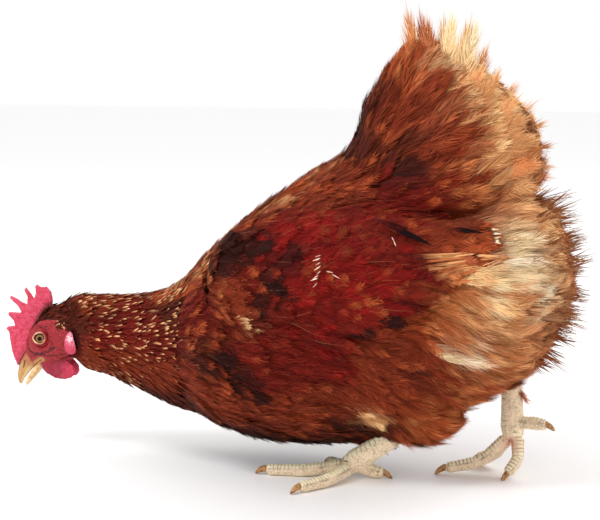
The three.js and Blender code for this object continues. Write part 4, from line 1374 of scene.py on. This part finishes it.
def body_plumage(skin, rng):
    """The small feathers of each tract, evenly spread over the body's skin."""
    wide = 1.0
    roots, outward, places = skin.scatter(int(ROOTS_TRIED / wide ** 2), rng, skin.of_body)
    owner = tract_of(roots)
    behind = behind_feather_edge(*head_axes(roots))
    owner[(np.linalg.norm(roots - EYE, axis=1) < HEAD_REACH) & (behind < HEAD_FEATHERS_END - 2)] = -1
    for number, (name, (_, slot, kind, length, width, lift, apart)) in enumerate(TRACTS.items()):
        if kind is None:
            continue
        mine = np.flatnonzero(owner == number)
        kept = mine[thinned(roots[mine], np.full(len(mine), apart * wide * MM))]
        count = len(kept)
        size = (
            length * MM * rng.normal(1, 0.13, count),
            width * wide * MM * rng.normal(1, 0.12, count),
            lift * MM * rng.uniform(0.5, 1.5, count),
        )
        path, ups = grow(skin, roots[kept], outward[kept], size[0], rng.normal(0, 0.16, count))
        if name == "neck":
            kept, path, ups, size = clear_of_comb(kept, path, ups, size)
        colour, tip, share = colours_at(path)
        tipped = np.where(rng.random(len(kept)) < share, rng.uniform(0.18, 0.34, len(kept)), 0)
        coat_halves(f"coat_{name}", slot, kind, path, ups, size, (colour, tip, tipped), places[kept], rng)


# The head's small feathers, in millimetres: what each measure is at the edge of the bare face, and how much
# more it is at the neck. The ear's tuft has a single one. A width is half of the full width.
HEAD_FEATHER_LENGTH, EAR_TUFT_LENGTH = (5.5, 13), 4
HEAD_FEATHER_WIDTH, EAR_TUFT_WIDTH = (1.0, 0.7), 0.32
HEAD_FEATHER_SPACING, EAR_TUFT_SPACING = (1.4, 0.9), 0.8
HEAD_FEATHER_LIFT = (0.7, 2.0)
BEHIND_EDGE, BEHIND_EDGE_AT_LOBE = 0.4, -2.5  # where they begin
AT_LOBE = 12  # above and below the middle of the lobe's white mark


def towards_neck(measure, behind):
    """A measure of the head's feathers this far behind the edge of the bare face."""
    at_edge, more = measure
    return at_edge + more * np.clip(behind / HEAD_FEATHERS_END, 0, 1)


def head_plumage(skin, rng):
    """Small feathers that begin at the edge of the bare face and grow longer towards the neck."""
    wide = 1.0
    roots, outward, places = skin.scatter(int(ROOTS_TRIED / wide ** 2), rng, skin.near_head)
    forward, up = head_axes(roots)
    behind = behind_feather_edge(forward, up)
    ear = np.hypot(forward - EAR_TUFT[0], up - EAR_TUFT[1]) < EAR_TUFT_REACH
    edge = np.where(np.abs(up - LOBE_WHITE[1]) < AT_LOBE, BEHIND_EDGE_AT_LOBE, BEHIND_EDGE)
    grown = (behind > edge) & (behind < HEAD_FEATHERS_END) & skin.exposed(roots, outward)
    mine = np.flatnonzero((grown | ear) & np.isin(head_owner(roots), ["head", "neck"]))
    apart = np.where(ear[mine], EAR_TUFT_SPACING, towards_neck(HEAD_FEATHER_SPACING, behind[mine]))
    kept = mine[thinned(roots[mine], apart * wide * MM)]
    count = len(kept)
    long = np.where(ear[kept], EAR_TUFT_LENGTH, towards_neck(HEAD_FEATHER_LENGTH, behind[kept]))
    broad = np.where(ear[kept], EAR_TUFT_WIDTH, towards_neck(HEAD_FEATHER_WIDTH, behind[kept]))
    size = (
        long * MM * rng.normal(1, 0.15, count),
        broad * wide * MM * rng.normal(1, 0.12, count),
        towards_neck(HEAD_FEATHER_LIFT, behind[kept]) * MM * rng.uniform(0.5, 1.4, count),
    )
    path, ups = grow(skin, roots[kept], outward[kept], size[0], rng.normal(0, 0.2, count))
    kept, path, ups, size = clear_of_comb(kept, path, ups, size)
    count = len(kept)
    colour, tip, share = colours_at(path)
    pale = ear[kept] & (rng.random(count) < 0.3)
    colour[pale] = RUST
    tip[pale] = CREAM
    colour[ear[kept] & ~pale] = UMBER
    tipped = np.where(pale, 0.4, np.where(rng.random(count) < share, TIPPED, 0))
    coat_piece("coat_head", "hackle", HEAD_FEATHER, path, ups, size, (colour, tip, tipped), places[kept], rng)


REAR_TUFTS_FROM = 0.2  # they begin this far back
REAR_TUFTS_LOW, REAR_TUFTS_HIGH = 0.09, 0.222  # above the floor
REAR_TUFT_LENGTH = 30 * MM
REAR_TUFT_SPACING = 8 * MM
REAR_ROOTS_TRIED = 9000
STRANDS = 9  # in each of them


def rear_tufts(skin, rng):
    """Dark tufts of thin strands that stand out behind."""
    roots, outward, places = skin.scatter(REAR_ROOTS_TRIED, rng, skin.of_body)
    level = (roots[:, 2] < REAR_TUFTS_HIGH) & (roots[:, 2] > REAR_TUFTS_LOW)
    mine = np.flatnonzero((roots[:, 1] > REAR_TUFTS_FROM) & level)
    mine = mine[tract_of(roots[mine]) == list(TRACTS).index("fluff")]
    apart = REAR_TUFT_SPACING * 1.0
    kept = mine[thinned(roots[mine], apart * rng.uniform(0.7, 1.8, len(mine)))]
    heading = unit(lie_at(roots[kept])) + outward[kept] * 0.25 + rng.normal(0, 0.2, (len(kept), 3))
    long = REAR_TUFT_LENGTH * rng.uniform(0.6, 1.15, len(kept))
    kept = np.repeat(kept, STRANDS)
    count = len(kept)
    heading = unit(np.repeat(heading, STRANDS, axis=0) + rng.normal(0, 0.1, (count, 3)))
    begin = roots[kept] + rng.normal(0, 1.2 * MM, (count, 3))
    length = np.repeat(long, STRANDS) * rng.uniform(0.6, 1, count)
    path = straight(begin, begin + heading * length[:, None])
    ups = np.sign(begin[:, :1]) * [1, 0, 0] + rng.normal(0, 0.3, (count, 3))
    ups = unit(ups - heading * (ups * heading).sum(axis=1, keepdims=True))
    ups = np.repeat(ups[:, None], path.shape[1], axis=1)
    colour = plumage_at(begin)[0] * 0.3 + CHESTNUT * 0.6
    colours = (colour * rng.uniform(0.5, 1.1, (count, 1)), colour, np.zeros(count))
    size = (length, np.zeros(count), np.zeros(count))
    coat_halves("coat_rear_tufts", "fluff", STRAND, path, ups, size, colours, places[kept], rng)


TAIL_ROOT = np.array([0, 0.127, 0.235])
TAIL_QUILL_START = 0.012  # of each large feather, from that root
TAIL_QUILL_WIDTH = 0.0125  # half of its full width

# The tail's large feathers on the left: the angle above level, how far the tip reaches from the tail's root
# and how far out it lies, in millimetres. Those on the right come between these.
TAIL_FAN = [
    (101, 138, 5),
    (94, 130, 8),
    (85, 133, 12),
    (76, 130, 15),
    (68, 101, 22),
    (60, 102, 26),
    (46, 97, 31),
    (36, 96, 36),
    (24, 94, 41),
    (12, 90, 45),
    (0, 88, 47),
]

# The wing's large feathers on the left, in millimetres: their roots, their tips and their half widths.
WING_FAN = [
    ((82, 66, 204), (66, 176, 211), 8),
    ((86, 66, 196), (69, 184, 203), 9),
    ((90, 64, 187), (72, 186, 194), 9),
    ((92, 62, 178), (76, 180, 183), 9),
    ((94, 58, 170), (82, 162, 170), 9),
    ((96, 54, 162), (87, 148, 157), 9),
    ((97, 48, 154), (91, 132, 146), 9),
    ((97, 41, 147), (92, 114, 137), 9),
    ((97, 33, 140), (93, 97, 128), 8),
    ((96, 25, 134), (92, 78, 120), 8),
]

UPPER_QUILLS = 4  # of them are brown whatever grows round them
WING_HOLD = 6 * MM  # how near the wing a shaft is drawn on to it

QUILL_COVERTS = [0.05, 0.2, 0.35, 0.5, 0.63]  # shares of the way along each at which a small feather begins
QUILL_COVERT_LENGTH = 32 * MM
QUILL_COVERT_WIDTH = 6.5 * MM  # half of its full width

# Single feathers that lie on the outside of the left wing: their roots, tips and half widths in millimetres,
# and their colours.
LAID_FEATHERS = [
    # the pale flight feathers whose tips come together behind the wing
    ((86, 104, 186), (72, 187, 187), 2.4, TAN),
    ((87, 106, 180), (72, 188, 186), 2.4, GINGER),
    ((88, 108, 175), (72, 188, 186), 2.2, TAN),
    ((88, 112, 170), (72, 188, 185), 2.2, GINGER),
    ((88, 118, 165), (72, 188, 185), 2.0, TAN),
    ((87, 126, 161), (72, 187, 184), 1.8, GINGER),
    ((88, 104, 183), (76, 166, 186), 0.8, UMBER),
    ((88, 107, 178), (76, 166, 185), 0.8, UMBER),
    ((88, 110, 172.5), (76, 166, 184), 0.8, UMBER),
    ((88, 115, 167.5), (76, 166, 183), 0.8, UMBER),
    # painted shadow: near-black feathers laid where the gaps between the wing and the tail lie in shade
    ((84, 92, 216), (82, 131, 199), 3.4, PAINTED_SHADE_DARK * 0.4),
    ((84, 100, 212), (82, 134, 197), 2.8, PAINTED_SHADE_DARK * 0.4),
    ((77, 144, 208), (73, 172, 205), 2.4, PAINTED_SHADE_DARK * 0.4),
    # torn pale barbs
    ((96, 59, 188), (96, 53, 186), 0.4, TORN),
    ((96, 59, 186), (96, 51, 183), 0.6, WHITE),
    ((96, 58, 183), (96, 53, 180), 0.4, TORN),
    ((96, 59, 181), (96, 52, 176), 0.5, WHITE),
    ((96, 58, 177), (96, 54, 173), 0.4, TORN),
    ((96, 57, 174), (96, 51, 169), 0.5, TORN),
    ((96, 57, 171), (96, 50, 168), 0.6, WHITE),
    ((96, 56, 168), (96, 52, 163), 0.4, TORN),
    ((97, 59, 176), (97, 66, 175), 0.4, WHITE),
    ((97, 63, 175), (97, 71, 171), 0.5, TORN),
    ((90, 108, 203), (90, 111, 198), 0.4, TORN),
    ((90, 110, 200), (90, 112, 195), 0.4, WHITE),
    ((90, 74, 117), (90, 85, 120), 0.5, WHITE),
    # white edge behind the wing
    ((72, 177, 208), (70, 184, 207), 1.2, IVORY),
    ((72, 178, 205), (70, 186, 204), 1.4, WHITE),
    ((72, 178, 202), (70, 187, 201), 1.4, IVORY),
    ((72, 179, 199), (70, 187, 198), 1.4, WHITE),
    ((72, 179, 196), (70, 187, 195), 1.2, IVORY),
]


def straight(roots, tips):
    """Straight shafts from these roots to these tips."""
    t = np.linspace(0, 1, PATH_STEPS * 2 + 1)[None, :, None]
    return roots[:, None] * (1 - t) + tips[:, None] * t


def tail_feathers(skin, rng):
    """The large feathers of the tail, in a fan."""
    left = np.array(TAIL_FAN, float)
    right = (left + np.concatenate([left[1:], left[-1:]])) / 2 - [0, 2, 0]
    roots, tips, ups = [], [], []
    for sign, fan in ((1, left), (-1, right)):
        for angle, reach, out in fan:
            turn = math.radians(angle)
            heading = np.array([sign * out / reach, math.cos(turn), math.sin(turn)])
            roots.append(TAIL_ROOT + heading * TAIL_QUILL_START)
            tips.append(TAIL_ROOT + heading * reach * MM * (1 - TAIL_QUILL.brush * 0.7))
            ups.append([sign, 0, 0.35])
    roots, tips = np.array(roots), np.array(tips)
    path = straight(roots, tips)
    count, stops = path.shape[:2]
    ups = np.broadcast_to(np.array(ups, float)[:, None], path.shape)
    ahead = unit(tips - roots)[:, None]
    ups = unit(ups - ahead * (ups * ahead).sum(axis=2, keepdims=True))
    bow = np.sin(np.linspace(0, math.pi, stops))[None, :, None]
    path = path + ups * bow * rng.uniform(3, 7, (count, 1, 1)) * MM
    length = np.linalg.norm(tips - roots, axis=1)
    size = (length, np.full(count, TAIL_QUILL_WIDTH), rng.uniform(0, 0.002, count))
    colour, tip, share = plumage_at(along(path, np.full((count, 1), 0.9))[:, 0])
    tipped = np.where(rng.random(count) < share, 0.25, 0)
    places = skin.nearest(roots)[2]
    coat_piece("coat_tail_quills", "tail", TAIL_QUILL, path, ups, size, (colour, tip, tipped), places, rng)


def on_wing(side, rows):
    """Shafts for these feathers that follow the outside of the wing, and which way is out there."""
    mirrored = np.array([SIDES[side], 1, 1]) * MM
    roots, tips = (np.array([row[end] for row in rows]) * mirrored for end in (0, 1))
    path = straight(roots, tips)
    tree = tree_of(f"wing_{side}")
    found = [tree.find_nearest(point) for point in path.reshape(-1, 3).tolist()]
    surface = np.array([hit[0] for hit in found]).reshape(path.shape)
    normals = np.array([hit[1] for hit in found]).reshape(path.shape)
    near = bump_at(np.linalg.norm(surface - path, axis=2, keepdims=True), WING_HOLD)
    path = path * (1 - near) + surface * near
    return path, unit(normals.mean(axis=1, keepdims=True) + normals * 0.3 + [SIDES[side] * 0.6, 0, 0])


def wing_feathers(skin, side, rng):
    """The large feathers rise from under the small ones and lie on the wing's outside towards their tips."""
    path, ups = on_wing(side, WING_FAN)
    count, stops = path.shape[:2]
    rootward = 1 - np.linspace(0, 1, stops)
    path = path - ups * (4 * rootward ** 0.8 - 0.3)[:, None] * MM
    length = np.linalg.norm(path[:, -1] - path[:, 0], axis=1)
    size = (length, np.array([row[2] for row in WING_FAN]) * MM, np.full(count, 0.5 * MM))
    colour, tip, _ = colours_at(path)
    colour[:UPPER_QUILLS] = CHESTNUT * 0.6 + RUST * 0.3
    tip[:UPPER_QUILLS] = RUST
    colours = (colour, tip, np.full(count, 0.2))
    places = skin.nearest(path[:, 0])[2]
    coat_piece(f"coat_quills_{side}", "plumage", WING_QUILL, path, ups, size, colours, places, rng)

    start = np.array(QUILL_COVERTS)[:, None] + rng.uniform(-0.05, 0.05, (len(QUILL_COVERTS), count))
    share = start[..., None] + np.linspace(0, 1, stops) * (QUILL_COVERT_LENGTH / length)[:, None]
    beside = np.cross(ups, np.gradient(path, axis=1))
    beside = unit(beside) * rng.uniform(-4, 4, (len(QUILL_COVERTS), count, 1, 1)) * MM
    over_path = np.concatenate([along(path, part) + aside for part, aside in zip(share, beside)])
    over_ups = np.concatenate([along(ups, part) for part in share])
    over_path = over_path + over_ups * 0.7 * MM
    count = len(over_path)
    size = (
        np.full(count, QUILL_COVERT_LENGTH),
        np.full(count, QUILL_COVERT_WIDTH),
        rng.uniform(0.5, 2, count) * MM,
    )
    colour, tip, often = plumage_at(over_path[:, -2])
    tipped = np.where(rng.random(count) < often, 0.3, 0)
    colours = (colour, tip, tipped)
    places = skin.nearest(over_path[:, 0])[2]
    coat_piece(f"coat_coverts_{side}", "plumage", COVERT, over_path, over_ups, size, colours, places, rng)


def laid_feathers(skin, side, rng):
    """Single feathers that come out between the wing's small ones and lie over them."""
    path, ups = on_wing(side, LAID_FEATHERS)
    share = np.linspace(0, 1, path.shape[1])
    path = path + ups * (1.5 - 5.5 * smooth_step(0.3, 0, share))[:, None] * MM
    count = len(path)
    size = (
        np.linalg.norm(path[:, -1] - path[:, 0], axis=1),
        np.array([row[2] for row in LAID_FEATHERS]) * MM,
        np.full(count, 0.3 * MM),
    )
    tip = np.array([row[3] for row in LAID_FEATHERS])
    colours = (plumage_at(path[:, 0])[0] * 0.6, tip, np.full(count, 0.7))
    places = skin.nearest(path[:, 0])[2]
    coat_piece(f"coat_laid_{side}", "plumage", LAID, path, ups, size, colours, places, rng)


# ---------------------------------------------------------------- the whole hen


def main():
    rng = np.random.default_rng(7)
    body, head = body_skin(), head_skin()
    feet = [foot_skin(side) for side in SIDES]
    skin = Skin(body, head)
    body_plumage(skin, rng)
    head_plumage(skin, rng)
    rear_tufts(skin, rng)
    tail_feathers(skin, rng)
    for side in SIDES:
        wing_feathers(skin, side, rng)
        laid_feathers(skin, side, rng)
        eyeball(side)
    parts = [body, head, lid_rims(), *feet]
    materials = [covered_skin_material, red_skin_material, red_skin_material, scale_material, scale_material]
    show("skin", joined("skin", parts), materials, "red_skin", *FLESH_NODES)
    bill("bill_upper")
    bill("bill_lower")
    claws()


# ---------------------------------------------------------------- stage

CAMERA_TURN = math.radians(105)
CAMERA_RISE = math.radians(8)
CAMERA_AWAY = 1.3
CAMERA_TARGET = np.array([0, 0.0154, 0.169])
LENS = 97.5
FLOOR_HALF = 6
KEY_LIGHT = ("key", (1.1, -0.9, 1.8), 0.7, 22)  # name, place, size and power
RIM_LIGHT = ("rim", (-0.9, 1.2, 1.5), 0.8, 10)


def set_stage():
    """The camera, the light and the floor."""
    back = np.array([
        math.sin(CAMERA_TURN) * math.cos(CAMERA_RISE),
        -math.cos(CAMERA_TURN) * math.cos(CAMERA_RISE),
        math.sin(CAMERA_RISE),
    ])
    data = bpy.data.cameras.new("camera")
    data.lens = LENS
    camera = bpy.data.objects.new("camera", data)
    camera.location = CAMERA_TARGET + back * CAMERA_AWAY
    camera.rotation_mode = "QUATERNION"
    camera.rotation_quaternion = Vector(-back).to_track_quat("-Z", "Y")
    bpy.context.scene.collection.objects.link(camera)
    bpy.context.scene.camera = camera

    world = bpy.data.worlds.new("studio")
    world.use_nodes = True
    world.node_tree.nodes["Background"].inputs["Color"].default_value = (1, 1, 1, 1)
    world.node_tree.nodes["Background"].inputs["Strength"].default_value = 1.0
    bpy.context.scene.world = world
    bpy.context.scene.view_settings.view_transform = "Standard"

    add_light(*KEY_LIGHT)
    add_light(*RIM_LIGHT)

    floor = bpy.data.meshes.new("floor")
    corners = [(-FLOOR_HALF, -FLOOR_HALF, 0), (FLOOR_HALF, -FLOOR_HALF, 0)]
    corners += [(FLOOR_HALF, FLOOR_HALF, 0), (-FLOOR_HALF, FLOOR_HALF, 0)]
    floor.from_pydata(corners, [], [(0, 1, 2, 3)])
    ground = bpy.data.objects.new("floor", floor)
    white = bpy.data.materials.new("floor")
    white.use_nodes = True
    white.node_tree.nodes["Principled BSDF"].inputs["Base Color"].default_value = (0.95, 0.95, 0.95, 1)
    floor.materials.append(white)
    bpy.context.scene.collection.objects.link(ground)


def add_light(name, place, size, power):
    """A square lamp that faces the hen."""
    data = bpy.data.lights.new(name, "AREA")
    data.energy = power
    data.size = size
    lamp = bpy.data.objects.new(name, data)
    lamp.location = place
    lamp.rotation_mode = "QUATERNION"
    lamp.rotation_quaternion = (Vector(CAMERA_TARGET) - Vector(place)).to_track_quat("-Z", "Y")
    bpy.context.scene.collection.objects.link(lamp)


main()
set_stage()
